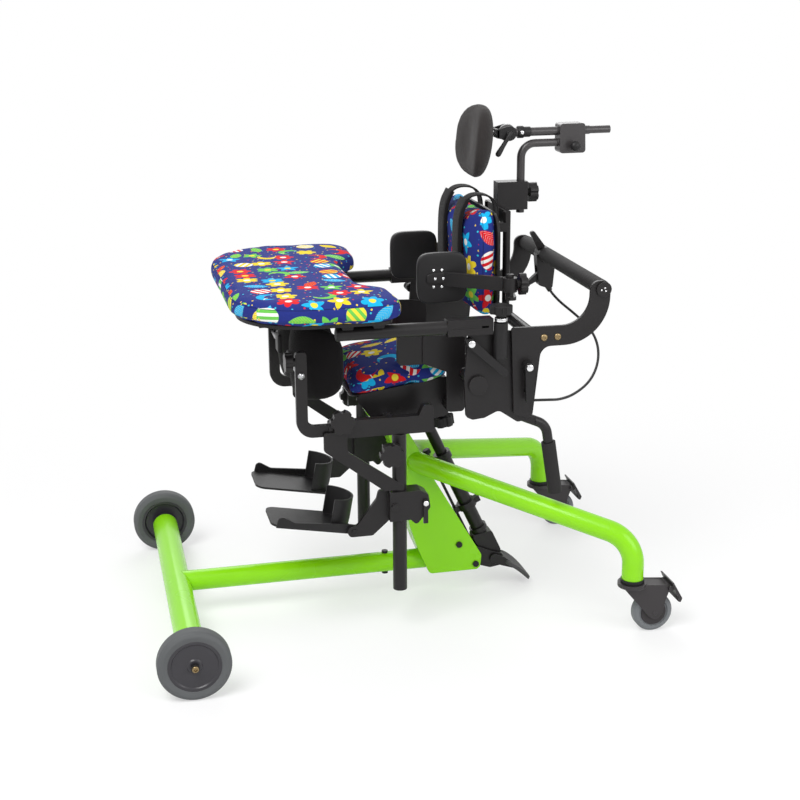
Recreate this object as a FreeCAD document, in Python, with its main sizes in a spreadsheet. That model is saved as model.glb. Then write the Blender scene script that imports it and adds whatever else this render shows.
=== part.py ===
import FreeCAD, Part
import Sketcher
import math
import os
import re
from FreeCAD import Placement, Rotation, Vector

# Standing frame. Millimetres, X across, +Y to the rear, +Z up.
# The origin is on the floor, midway between the front wheels' front and the brake pedals' rear edge.

doc = FreeCAD.newDocument("StandingFrame")
sheet = doc.addObject("Spreadsheet::Sheet", "Sizes")

DRIVING = {
    # front axle and base tube
    "FrontAxleY": -418, "FrontTyreRadius": 63.5, "FrontTyreWidth": 32, "HubStandoff": 12,
    "FrontHubRadius": 46, "FrontHubWidth": 28, "FrontAxleRadius": 6, "AxleNutRadius": 8, "AxleNutHeight": 7,
    "CrossTubeRadius": 25, "CrossTubeHalf": 306, "BaseTubeRadius": 19.5, "BaseTubeZ": 67.5, "TubeWall": 2.5,
    "AxleCapThickness": 5, "RunningGap": 0.05, "SeatGap": 0.3, "SlideGap": 0.08,
    # mast
    "PivotY": -32, "PivotZ": 398, "MastHalfWidth": 35, "MastWall": 4, "MastTopRadius": 25,
    "MastFootZ": 47.5, "MastFootFrontY": 68, "MastFootRearY": 170,
    # rear legs and castors
    "LegRadius": 20, "LegRootZ": 297, "LegRootY": -13, "LegRootBend": 60, "StemX": 272, "StemY": 393,
    "LegElbowZ": 182, "LegElbowBend": 60, "StemBottomZ": 106, "CastorTrail": 40, "CastorRadius": 37.5,
    "CastorWidth": 24, "CastorPinRadius": 8, "CastorCapRadius": 22, "CastorCapHeight": 7,
    "ForkHeadRadius": 27, "ForkHeadHeight": 7, "ForkBlade": 4, "CastorAxleRadius": 4,
    "PedalWidth": 56, "PedalHingeY": 462, "PedalHingeZ": 86, "PedalTipY": 481.5, "PedalTipZ": 60,
    # side bars, leg tubes
    "PivotTubeRadius": 11, "BarX": 165, "BarThick": 16, "BarFrontY": -150, "BarRearY": 41,
    "BarBottomZ": 386, "BarTopZ": 418, "BarUpstandZ": 437, "BarWall": 2.5, "KnobRadius": 22,
    "KnobHeight": 15, "LegTubeRadius": 13, "LegTubeY": -21, "LegTubeBottomZ": 84, "BraceThick": 5,
    # knee supports
    "KneeArmTopZ": 548, "KneeArmFrontY": -206, "KneeArmWidth": 20, "KneeArmThick": 10.4,
    "KneePadX": 69, "KneePadY": -118, "KneePadZ": 502, "KneePadOuter": 64, "KneePadThick": 21,
    "KneePadReach": 66, "KneeBarZ": 530, "KneeBarRadius": 6,
    # footplates
    "CarrierTopZ": 279, "CarrierRearY": 15, "CarrierHalf": 17, "FootHingeY": -105, "FootHingeZ": 203,
    "FootPlateLength": 150, "FootPlateInnerX": 54, "FootPlateOuterX": 150, "FootPlateThick": 4,
    "FootFlangeHeight": 24, "FootPlateTilt": 10.3, "FootPinRadius": 5, "HeelCupHeight": 58,
    # seat
    "SeatTilt": 8, "SeatPanHalf": 100, "SeatPanHeight": 50, "SeatPanThick": 3, "SeatPanFront": -58,
    "SeatPanRear": 122, "SeatPlateThick": 6, "CushionHalf": 130, "CushionFront": -66, "CushionRear": 130,
    "CushionThick": 40, "SeatHubRadius": 20, "LugForward": 81.8, "LugDrop": -21.6,
    "DepthKnobX": 60, "DepthKnobForward": 136,
    # hip
    "HipY": 109, "HipZ": 482, "HipTubeRadius": 12, "HipLug": 60, "LinkX": 46, "LinkThick": 6,
    "LinkHalfHeight": 8, "LinkPinRadius": 5, "LinkOpenGap": 0.6,
    # pump
    "PumpY": 203, "PumpZ": 62, "PumpLean": 24.9, "PumpBodyHalf": 15, "PumpCylinderRadius": 13.5,
    "PumpCylinderLength": 245, "RodRadius": 11, "RodEye": 359.3, "BracketThick": 4,
    # lower back and tray rails
    "SidePlateX": 213, "SidePlateThick": 6, "ChannelFrontY": 51, "ChannelRearY": 132, "RailX": 222,
    "RailZ": 590, "RailRadius": 12, "RailFrontY": -250, "RailRearY": 112, "ChannelHalf": 12.5,
    "ChannelHalfHeight": 14, "PostY": 146, "PostX": 232, "PostTopZ": 612,
    "PostSleeveRadius": 12.5, "PostSleeveLength": 64, "PostFootDrop": 58,
    "StudY": 196, "StudZ": 514, "StudRadius": 5, "SlotTravel": 45, "LeverLength": 66,
    "GripRadius": 9, "GripSleeveRadius": 13, "GripX": 206,
    # tray
    "TrayHalf": 280, "TrayFrontY": -322, "TrayRearY": -28, "TrayBoardZ": 611, "TrayBoardThick": 6,
    "TrayPadThick": 36, "TrayFrontRound": 138, "TrayRearRound": 45, "TrayCutDepth": 42, "TrayCutHalf": 150,
    "TrayEdgeRound": 13, "TrayBoardInset": 20,
    # upper back
    "BackPlateX": 221, "BackPlateThick": 6, "PushBarY": 334.6, "PushBarZ": 642.8, "PushBarRadius": 11,
    "PushSleeveRadius": 14.5, "ArmWidth": 37, "ArmDrop": 14, "ArmBend": 84, "BackTubeY": 215, "BackTubeZ": 560, "BackTubeRadius": 11,
    "UprightX": 60, "UprightY": 207, "UprightRadius": 7, "UprightTopZ": 758,
    "ShellHalf": 118, "ShellBottomZ": 585, "ShellTopZ": 762, "ShellThick": 5, "ShellY": 173,
    "BackCushionHalf": 130, "BackCushionBottomZ": 572, "BackCushionTopZ": 774, "BackCushionThick": 50,
    "SwingPostY": 174, "SwingPostX": 190, "SwingPostRadius": 7, "SwingArmZ": 652, "SwingArmHeight": 25,
    "LateralPadX": 112, "LateralPadY": 72, "LateralPadSize": 84, "LateralPadThick": 10,
    "ReleaseX": -105, "ReleaseBodyWidth": 30, "GlandLength": 14, "GlandTilt": 35,
    # headrest
    "GooseY": 251, "GooseRadius": 7.5, "GooseTopZ": 872, "GooseBend": 26, "HeadRodZ": 893,
    "HeadRodRadius": 8, "HeadRodFrontY": 236, "HeadRodRearY": 422, "HeadSpigotRadius": 7,
    "HeadSpigotLength": 40, "HeadBallY": 223,
    "HeadBallRadius": 15.6, "HeadPadY": 170, "HeadPadZ": 880, "HeadPadHalf": 76, "HeadPadHeight": 132,
    "HeadPadThick": 34,
}

row = 0


def add_size(name, number):
    global row
    row += 1
    sheet.set("A%d" % row, name)
    sheet.set("B%d" % row, repr(float(number)))
    sheet.setAlias("B%d" % row, name)


for alias, number in DRIVING.items():
    add_size(alias, number)
doc.recompute()

WORD = re.compile(r"[A-Z][A-Za-z]+[0-9]*[A-Za-z]*")
ALONG = {"x": Rotation(Vector(0, 1, 0), 90), "y": Rotation(Vector(1, 0, 0), -90), "z": Rotation()}
PARTS = []


def size(name):
    return float(sheet.get(name))


def bind(obj, prop, expression):
    text = WORD.sub(lambda word: "Sizes." + word.group(0), str(expression))
    obj.setExpression(prop, text)


def locate(obj, x, y, z):
    bind(obj, ".Placement.Base.x", x)
    bind(obj, ".Placement.Base.y", y)
    bind(obj, ".Placement.Base.z", z)


def cylinder(name, radius, length, axis, x, y, z):
    obj = doc.addObject("Part::Cylinder", name)
    bind(obj, "Radius", radius)
    bind(obj, "Height", length)
    obj.Placement = Placement(Vector(), ALONG[axis])
    locate(obj, x, y, z)
    return obj


def box(name, length, width, height, x, y, z):
    obj = doc.addObject("Part::Box", name)
    bind(obj, "Length", length)
    bind(obj, "Width", width)
    bind(obj, "Height", height)
    locate(obj, x, y, z)
    return obj


def ball(name, radius, x, y, z):
    obj = doc.addObject("Part::Sphere", name)
    bind(obj, "Radius", radius)
    locate(obj, x, y, z)
    return obj


def fuse(name, shapes):
    obj = doc.addObject("Part::MultiFuse", name)
    obj.Shapes = shapes
    return obj


def cut(name, base, tools):
    tool = tools[0] if len(tools) == 1 else fuse(name + "_tool", tools)
    obj = doc.addObject("Part::Cut", name)
    obj.Base = base
    obj.Tool = tool
    return obj


def common(name, base, tool):
    obj = doc.addObject("Part::Common", name)
    obj.Base = base
    obj.Tool = tool
    return obj


def group(name, shapes):
    obj = doc.addObject("Part::Compound", name)
    obj.Links = shapes
    return obj


def node(name, obj):
    obj.Label = name
    PARTS.append((name, obj))
    return obj


def tube(name, radius, wall, length, axis, x, y, z):
    outer = cylinder(name + "_outer", radius, length, axis, x, y, z)
    inner = cylinder(name + "_inner", "%s - %s" % (radius, wall), length, axis, x, y, z)
    return cut(name, outer, [inner])


# An outline is a closed run of corners; each corner is a pair of expressions in the sketch's own axes
# and may carry a corner radius as a third value.
def draw_outline(sketch, corners):
    count = len(corners)
    for index in range(count):
        start = Vector(index, (index * index) % 7, 0)
        end = Vector((index + 1) % count, ((index + 1) % count) ** 2 % 7, 0)
        sketch.addGeometry(Part.LineSegment(start, end + Vector(0.1, 0.2, 0)), False)
    for index in range(count):
        sketch.addConstraint(Sketcher.Constraint("Coincident", index, 2, (index + 1) % count, 1))
    for index, corner in enumerate(corners):
        for kind, expression in zip(("DistanceX", "DistanceY"), corner[:2]):
            number = sketch.addConstraint(Sketcher.Constraint(kind, -1, 1, index, 1, 1.0))
            bind(sketch, "Constraints[%d]" % number, expression)


def origin_plane(body, role):
    return [item for item in body.Origin.OriginFeatures if item.Role == role][0]


PLANES = {"yz": "YZ_Plane", "xy": "XY_Plane", "xz": "XZ_Plane"}


def profile_body(name, plane, corners):
    body = doc.addObject("PartDesign::Body", name)
    sketch = body.newObject("Sketcher::SketchObject", name + "_sketch")
    sketch.AttachmentSupport = [(origin_plane(body, PLANES[plane]), "")]
    sketch.MapMode = "FlatFace"
    draw_outline(sketch, corners)
    return body, sketch


# Rounds the upright corners of a plate: each rounded corner names its radius.
def round_corners(body, feature, plane, corners):
    doc.recompute()
    rounded = [corner for corner in corners if len(corner) > 2]
    radii = []
    for corner in rounded:
        if corner[2] not in radii:
            radii.append(corner[2])
    for radius in radii:
        spots = [corner_point(corner) for corner in rounded if corner[2] == radius]
        names = []
        for number, edge in enumerate(body.Tip.Shape.Edges):
            if len(edge.Vertexes) != 2:
                continue
            ends = [flat(plane, vertex.Point) for vertex in edge.Vertexes]
            if abs(ends[0][0] - ends[1][0]) + abs(ends[0][1] - ends[1][1]) > 1e-4:
                continue
            if any(math.hypot(ends[0][0] - a, ends[0][1] - b) < 1e-3 for a, b in spots):
                names.append("Edge%d" % (number + 1))
        fillet = body.newObject("PartDesign::Fillet", body.Name + "_round")
        fillet.Base = (feature, names)
        bind(fillet, "Radius", radius)
        doc.recompute()
        feature = fillet


def flat(plane, point):
    if plane == "yz":
        return point.y, point.z
    if plane == "xz":
        return point.x, point.z
    return point.x, point.y


def corner_point(corner):
    probe = doc.getObject("Probe") or doc.addObject("App::FeaturePython", "Probe")
    values = []
    for expression in corner[:2]:
        text = WORD.sub(lambda word: "Sizes." + word.group(0), str(expression))
        values.append(float(probe.evalExpression(text)))
    return values


def plate(name, plane, corners, thickness, x, y, z):
    body, sketch = profile_body(name, plane, corners)
    pad = body.newObject("PartDesign::Pad", name + "_pad")
    pad.Profile = sketch
    bind(pad, "Length", thickness)
    if plane == "xz":
        pad.Reversed = True
    if any(len(corner) > 2 for corner in corners):
        round_corners(body, pad, plane, corners)
    locate(body, x, y, z)
    return body


# A turned piece: corners are (along the axis, radius); it turns about X.
def turned(name, corners, x, y, z):
    body, sketch = profile_body(name, "xz", corners)
    turn = body.newObject("PartDesign::Revolution", name + "_turn")
    turn.Profile = sketch
    turn.ReferenceAxis = (sketch, ["H_Axis"])
    turn.Angle = 360
    locate(body, x, y, z)
    return body


def made(name, shape):
    obj = doc.addObject("Part::Feature", name)
    obj.Shape = shape
    return obj


# A star knob: a short round boss with scallops round its rim, its axis along Z before it is turned.
def star_knob(name, radius, height, axis, x, y, z, away=1):
    base = Part.makeCylinder(radius, height)
    for index in range(6):
        angle = math.radians(60 * index)
        spot = Vector(math.cos(angle), math.sin(angle), 0) * (radius * 1.12)
        base = base.cut(Part.makeCylinder(radius * 0.28, height, spot))
    neck = Part.makeCylinder(radius * 0.42, height * 0.4, Vector(0, 0, -height * 0.4))
    knob = made(name, base.fuse(neck))
    turn = ALONG[axis]
    if away < 0:
        turn = turn.multiply(Rotation(Vector(1, 0, 0), 180))
    knob.Placement = Placement(Vector(x, y, z), turn)
    return knob


# A path of straight runs with a tangent arc at each inner point.
def rounded_path(points, bends):
    edges = []
    start = points[0]
    for index in range(1, len(points) - 1):
        before = (points[index - 1] - points[index]).normalize()
        after = (points[index + 1] - points[index]).normalize()
        half = before.getAngle(after) / 2
        reach = bends[index - 1] / math.tan(half)
        first = points[index] + before * reach
        last = points[index] + after * reach
        centre = points[index] + (before + after).normalize() * (bends[index - 1] / math.sin(half))
        middle = centre + (points[index] - centre).normalize() * bends[index - 1]
        if (first - start).Length > 1e-4:
            edges.append(Part.LineSegment(start, first).toShape())
        edges.append(Part.Arc(first, middle, last).toShape())
        start = last
    edges.append(Part.LineSegment(start, points[-1]).toShape())
    return Part.Wire(edges)


def swept(path, radius):
    direction = path.Edges[0].tangentAt(path.Edges[0].FirstParameter)
    start = path.Edges[0].valueAt(path.Edges[0].FirstParameter)
    ring = Part.Wire([Part.makeCircle(radius, start, direction)])
    return path.makePipeShell([ring], True, False)


def bent_tube(points, bends, radius, wall):
    path = rounded_path(points, bends)
    solid = swept(path, radius)
    if wall > 0:
        solid = solid.cut(swept(path, radius - wall))
    return solid


# A pad with a crowned top and drawn-in sides: sections along Y, lofted. Each section is
# (place along Y, half width, bottom height, top height at the side, top height in the middle).
def crowned(sections):
    wires = []
    for along, half, bottom, side, crown in sections:
        left = Vector(-half, along, bottom)
        right = Vector(half, along, bottom)
        right_top = Vector(half, along, side)
        left_top = Vector(-half, along, side)
        bulge = (side - bottom) * 0.22
        middle = (bottom + side) / 2
        wires.append(Part.Wire([
            Part.LineSegment(left, right).toShape(),
            Part.Arc(right, Vector(half + bulge, along, middle), right_top).toShape(),
            Part.Arc(right_top, Vector(0, along, crown), left_top).toShape(),
            Part.Arc(left_top, Vector(-half - bulge, along, middle), left).toShape(),
        ]))
    return Part.makeLoft(wires, True, False)


def turned_about(obj, angle, point):
    obj.Placement = Placement(Vector(), Rotation(Vector(1, 0, 0), angle), point).multiply(obj.Placement)


SIDES = (("left", 1), ("right", -1))


# Places a plate of a given thickness whose inner face stands at inner_x on one side of the frame.
def side_x(inner_x, thickness, side):
    return "%s" % inner_x if side > 0 else "-(%s) - (%s)" % (inner_x, thickness)


# Front axle: cross tube, end caps with pins and nuts, wheels
def front_axle():
    node("front_cross_tube", tube("CrossTube", "CrossTubeRadius", "TubeWall", "2 * CrossTubeHalf", "x",
                                  "-CrossTubeHalf", "FrontAxleY", "FrontTyreRadius"))
    fasteners = []
    track = "(CrossTubeHalf + AxleCapThickness + HubStandoff + FrontHubWidth / 2)"
    reach = "AxleCapThickness + HubStandoff + FrontHubWidth + SeatGap"
    for name, side in SIDES:
        start = side_x("CrossTubeHalf", "AxleCapThickness", side)
        cap = cylinder("AxleCap_" + name, "CrossTubeRadius", "AxleCapThickness", "x", start,
                       "FrontAxleY", "FrontTyreRadius")
        pin = cylinder("AxlePin_" + name, "FrontAxleRadius", reach, "x",
                       side_x("CrossTubeHalf", reach, side), "FrontAxleY", "FrontTyreRadius")
        nut = doc.addObject("Part::Prism", "AxleNut_" + name)
        nut.Polygon = 6
        bind(nut, "Circumradius", "AxleNutRadius")
        bind(nut, "Height", "AxleNutHeight")
        nut.Placement = Placement(Vector(), ALONG["x"])
        locate(nut, side_x(track + " + FrontHubWidth / 2 + SeatGap", "AxleNutHeight", side),
               "FrontAxleY", "FrontTyreRadius")
        fasteners.append(fuse("AxleEnd_" + name, [cap, pin, nut]))
        half = "FrontHubWidth / 2"
        bore = "FrontAxleRadius + RunningGap"
        hub = turned("FrontHub_" + name, [
            ("-" + half, bore), (half, bore), (half, "AxleNutRadius + 4"), (half + " - 2", "AxleNutRadius + 6"),
            (half + " - 2", "FrontHubRadius - 7"), (half, "FrontHubRadius - 5"), (half, "FrontHubRadius"),
            ("-" + half, "FrontHubRadius"), ("-" + half, "FrontHubRadius - 5"),
            ("-" + half + " + 6", "FrontHubRadius - 8"), ("-" + half + " + 6", "AxleNutRadius + 10"),
            ("-" + half, "AxleNutRadius + 6")], track + " * %d" % side, "FrontAxleY", "FrontTyreRadius")
        if side < 0:
            hub.Placement.Rotation = Rotation(Vector(0, 0, 1), 180)
        node("front_hub_" + name, hub)
        wide = "FrontTyreWidth / 2"
        tyre = turned("FrontTyre_" + name, [
            ("-" + half, "FrontHubRadius + RunningGap"), (half, "FrontHubRadius + RunningGap"),
            (half + " + 1", "FrontHubRadius + 4"), (wide, "FrontHubRadius + 8"),
            (wide, "FrontTyreRadius - 7"), (wide + " - 2.5", "FrontTyreRadius - 2.5"),
            (wide + " - 7", "FrontTyreRadius"), ("-" + wide + " + 7", "FrontTyreRadius"),
            ("-" + wide + " + 2.5", "FrontTyreRadius - 2.5"), ("-" + wide, "FrontTyreRadius - 7"),
            ("-" + wide, "FrontHubRadius + 8"), ("-" + half + " - 1", "FrontHubRadius + 4")],
            track + " * %d" % side, "FrontAxleY", "FrontTyreRadius")
        node("front_tyre_" + name, tyre)
    return fasteners


# Mast outline from its rounded top at the seat pivot down to its foot
MAST = [
    ("PivotY - 22", "PivotZ - 12"), ("PivotY + 18", "PivotZ - 55", 20), ("PivotY + 42", "PivotZ - 123", 40),
    ("PivotY + 54", "PivotZ - 166", 40), ("PivotY + 59", "PivotZ - 243", 60), ("PivotY + 77", "PivotZ - 297", 40),
    ("MastFootFrontY", "MastFootZ", 10), ("MastFootRearY", "MastFootZ", 10), ("MastFootRearY + 3", "MastFootZ + 30", 14),
    ("PivotY + 110", "PivotZ - 157", 60), ("PivotY + 78", "PivotZ - 90", 60), ("PivotY + 38", "PivotZ - 19", 40),
    ("PivotY + 20", "PivotZ + 15"),
]


def mast_outline(name, half_width):
    sides = plate(name, "yz", MAST, "2 * (%s)" % half_width, "-(%s)" % half_width, 0, 0)
    head = cylinder(name + "_head", "MastTopRadius", "2 * (%s)" % half_width, "x", "-(%s)" % half_width,
                    "PivotY", "PivotZ")
    return fuse(name + "_block", [sides, head])


def mast_and_legs():
    block = mast_outline("Mast", "MastHalfWidth")
    doc.recompute()
    wall = size("MastWall")
    half = size("MastHalfWidth")
    side_face = [face for face in block.Shape.Faces
                 if abs(face.CenterOfMass.x - half) < 1e-3 and abs(face.normalAt(0, 0).x) > 0.99]
    outline = Part.makeFace([Part.Wire(Part.__sortEdges__(side_face[0].OuterWire.Edges))], "Part::FaceMakerSimple") \
        if len(side_face) == 1 else side_face[0].fuse(side_face[1:]).removeSplitter().Faces[0]
    inset = outline.makeOffset2D(-wall)
    hollow = inset.extrude(Vector(-2 * (half - wall), 0, 0))
    hollow.translate(Vector(-wall, 0, 0))
    cavity = made("MastCavity", hollow)
    bore = cylinder("MastBore", "PivotTubeRadius", "2 * MastHalfWidth", "x", "-MastHalfWidth", "PivotY", "PivotZ")
    node("mast", cut("MastBox", block, [cavity, bore]))

    root = Vector(0, size("LegRootY"), size("LegRootZ"))
    elbow = Vector(size("StemX"), size("StemY"), size("LegElbowZ"))
    foot = Vector(size("StemX"), size("StemY"), size("StemBottomZ"))
    mirror = [Vector(-point.x, point.y, point.z) for point in (elbow, foot)]
    points = [mirror[1], mirror[0], root, elbow, foot]
    bends = [size("LegElbowBend"), size("LegRootBend"), size("LegElbowBend")]
    legs = made("LegTube", bent_tube(points, bends, size("LegRadius"), size("TubeWall")))
    node("rear_legs", cut("RearLegs", legs, [mast_outline("LegCope", "MastHalfWidth")]))

    whole = tube("BaseTube_hollow", "BaseTubeRadius", "TubeWall", "MastFootFrontY + 30 - FrontAxleY", "y", 0,
                 "FrontAxleY", "BaseTubeZ")
    cross = cylinder("BaseCope", "CrossTubeRadius", "2 * CrossTubeHalf", "x", "-CrossTubeHalf", "FrontAxleY",
                     "FrontTyreRadius")
    node("base_tube", cut("BaseTube", whole, [cross, mast_outline("BaseMastCope", "MastHalfWidth")]))


def fasteners(axle_ends):
    heads = list(axle_ends)
    for number, (y, z) in enumerate((("MastFootRearY - 43", "MastFootZ + 56"), ("MastFootRearY - 9", "MastFootZ + 12"))):
        for name, side in SIDES:
            heads.append(cylinder("MastBolt%d_%s" % (number, name), 6, 4, "x", side_x("MastHalfWidth", 4, side), y, z))
    bolt_y = "MastFootFrontY - 82"
    bolt = cylinder("BaseBolt", 6, "2 * BaseTubeRadius + 8", "z", 0, bolt_y, "BaseTubeZ - BaseTubeRadius - 4")
    tube_core = cylinder("BaseBoltSeat", "BaseTubeRadius", 40, "y", 0, bolt_y + " - 20", "BaseTubeZ")
    heads.append(cut("BaseBoltHeads", bolt, [tube_core]))
    node("frame_fasteners", group("FrameFasteners", heads))


# Castors: fork head, blades, wheel and brake pedal
def castors():
    wheel_y = "StemY + CastorTrail"
    for name, side in SIDES:
        x = "StemX * %d" % side
        head_z = "StemBottomZ - CastorCapHeight - SeatGap - ForkHeadHeight"
        head = cylinder("ForkHead_" + name, "ForkHeadRadius", "ForkHeadHeight", "z", x, "StemY", head_z)
        pin = cylinder("ForkPin_" + name, "CastorPinRadius", "CastorCapHeight + SeatGap + 30", "z", x, "StemY",
                       head_z + " + ForkHeadHeight")
        inner = "CastorWidth / 2 + 2"
        blades = []
        for blade, way in (("a", 1), ("b", -1)):
            start = x + " + " + inner if way > 0 else x + " - (" + inner + ") - ForkBlade"
            blades.append(plate("ForkBlade_%s_%s" % (name, blade), "yz", [
                ("StemY - 20", head_z), (wheel_y + " - 12", "CastorRadius - 4", 8),
                (wheel_y + " + 2", "CastorRadius - 13", 8), (wheel_y + " + 14", "CastorRadius - 2", 8),
                (wheel_y + " + 20", "CastorRadius + 26", 8), ("PedalHingeY - 1", head_z + " - 6", 5),
                ("PedalHingeY - 3", head_z + " + 1", 3), ("StemY + 6", head_z + " + ForkHeadHeight", 3),
                ("StemY - 20", head_z + " + ForkHeadHeight")], "ForkBlade", start, 0, 0))
        roof = plate("ForkRoof_" + name, "yz", [
            ("StemY - 16", head_z), (wheel_y + " + 10", head_z + " - 7"), ("PedalHingeY - 5", head_z + " - 8"),
            ("PedalHingeY - 4", head_z), ("StemY + 8", head_z + " + ForkHeadHeight"),
            ("StemY - 16", head_z + " + ForkHeadHeight")], "2 * (" + inner + ")",
            x + " - (" + inner + ")", 0, 0)
        axle = cylinder("ForkAxle_" + name, "CastorAxleRadius", "CastorWidth + 4 + 2 * ForkBlade + 3", "x",
                        x + " - (CastorWidth + 4 + 2 * ForkBlade + 3) / 2", wheel_y, "CastorRadius")
        fork = fuse("Fork_" + name, [head, pin, roof, axle] + blades)
        relief = cylinder("ForkRelief_" + name, 5.4, "PedalWidth", "x", x + " - PedalWidth / 2", "PedalHingeY",
                          "PedalHingeZ")
        node("castor_fork_" + name, cut("ForkCut_" + name, fork, [relief]))
        half = "CastorWidth / 2"
        node("castor_wheel_" + name, turned("CastorWheel_" + name, [
            ("-" + half, "CastorAxleRadius + RunningGap"), (half, "CastorAxleRadius + RunningGap"),
            (half, "CastorRadius - 14"), (half + " - 2", "CastorRadius - 13"),
            (half + " - 2", "CastorRadius - 11"), (half, "CastorRadius - 10"), (half, "CastorRadius - 5"),
            (half + " - 5", "CastorRadius"), ("-" + half + " + 5", "CastorRadius"), ("-" + half, "CastorRadius - 5"),
            ("-" + half, "CastorRadius - 10"), ("-" + half + " + 2", "CastorRadius - 11"),
            ("-" + half + " + 2", "CastorRadius - 13"), ("-" + half, "CastorRadius - 14")], x, wheel_y,
            "CastorRadius"))
        start = x + " - PedalWidth / 2"
        blade = plate("PedalBlade_" + name, "yz", [
            ("PedalHingeY - 2", "PedalHingeZ + 15"), ("PedalHingeY + 1", "PedalHingeZ + 15"),
            ("PedalTipY", "PedalTipZ + 8", 1), ("PedalTipY - 3", "PedalTipZ", 2), ("PedalTipY - 9", "PedalTipZ + 3", 2),
            ("PedalTipY - 8", "PedalTipZ + 11", 2)], "PedalWidth", start, 0, 0)
        barrel = cylinder("PedalBarrel_" + name, 5, "PedalWidth - 12", "x", start + " + 6", "PedalHingeY", "PedalHingeZ")
        node("brake_pedal_" + name, fuse("BrakePedal_" + name, [blade, barrel]))


# Castor sockets: the black cap under each leg, bored for the castor pin
def castor_caps():
    caps = []
    for name, side in SIDES:
        x = "StemX * %d" % side
        flange = cylinder("CastorFlange_" + name, "CastorCapRadius", "CastorCapHeight", "z", x, "StemY",
                          "StemBottomZ - CastorCapHeight")
        plug = cylinder("CastorPlug_" + name, "LegRadius - TubeWall", 24, "z", x, "StemY", "StemBottomZ")
        bore = cylinder("CastorBore_" + name, "CastorPinRadius + RunningGap", 60, "z", x, "StemY",
                        "StemBottomZ - 20")
        caps.append(cut("CastorCap_" + name, fuse("CastorCapBody_" + name, [flange, plug]), [bore]))
    return caps


# Seat pivot tube with the ears that carry the level links
def pivot_tube():
    rod = cylinder("PivotTube", "PivotTubeRadius", "2 * (BarX - BarThick / 2)", "x", "-(BarX - BarThick / 2)",
                   "PivotY", "PivotZ")
    pieces = [rod]
    for name, side in SIDES:
        ear = plate("LinkEar_" + name, "yz", [
            ("PivotY - 16", "PivotZ - 14", 8), ("PivotY + 10", "PivotZ - 20", 8), ("PivotY + HipLug + 9", "PivotZ - 11", 8),
            ("PivotY + HipLug + 9", "PivotZ + 11", 8), ("PivotY + 10", "PivotZ + 20", 8), ("PivotY - 16", "PivotZ + 14", 8)],
            5, side_x("MastHalfWidth", 5, side), 0, 0)
        pin = cylinder("EarPin_" + name, "LinkPinRadius", "LinkX + LinkThick / 2 + 2 - MastHalfWidth", "x",
                       side_x("MastHalfWidth", "LinkX + LinkThick / 2 + 2 - MastHalfWidth", side),
                       "PivotY + HipLug", "PivotZ")
        pieces += [ear, pin]
    node("pivot_tube", fuse("PivotTubeSet", pieces))


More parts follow.
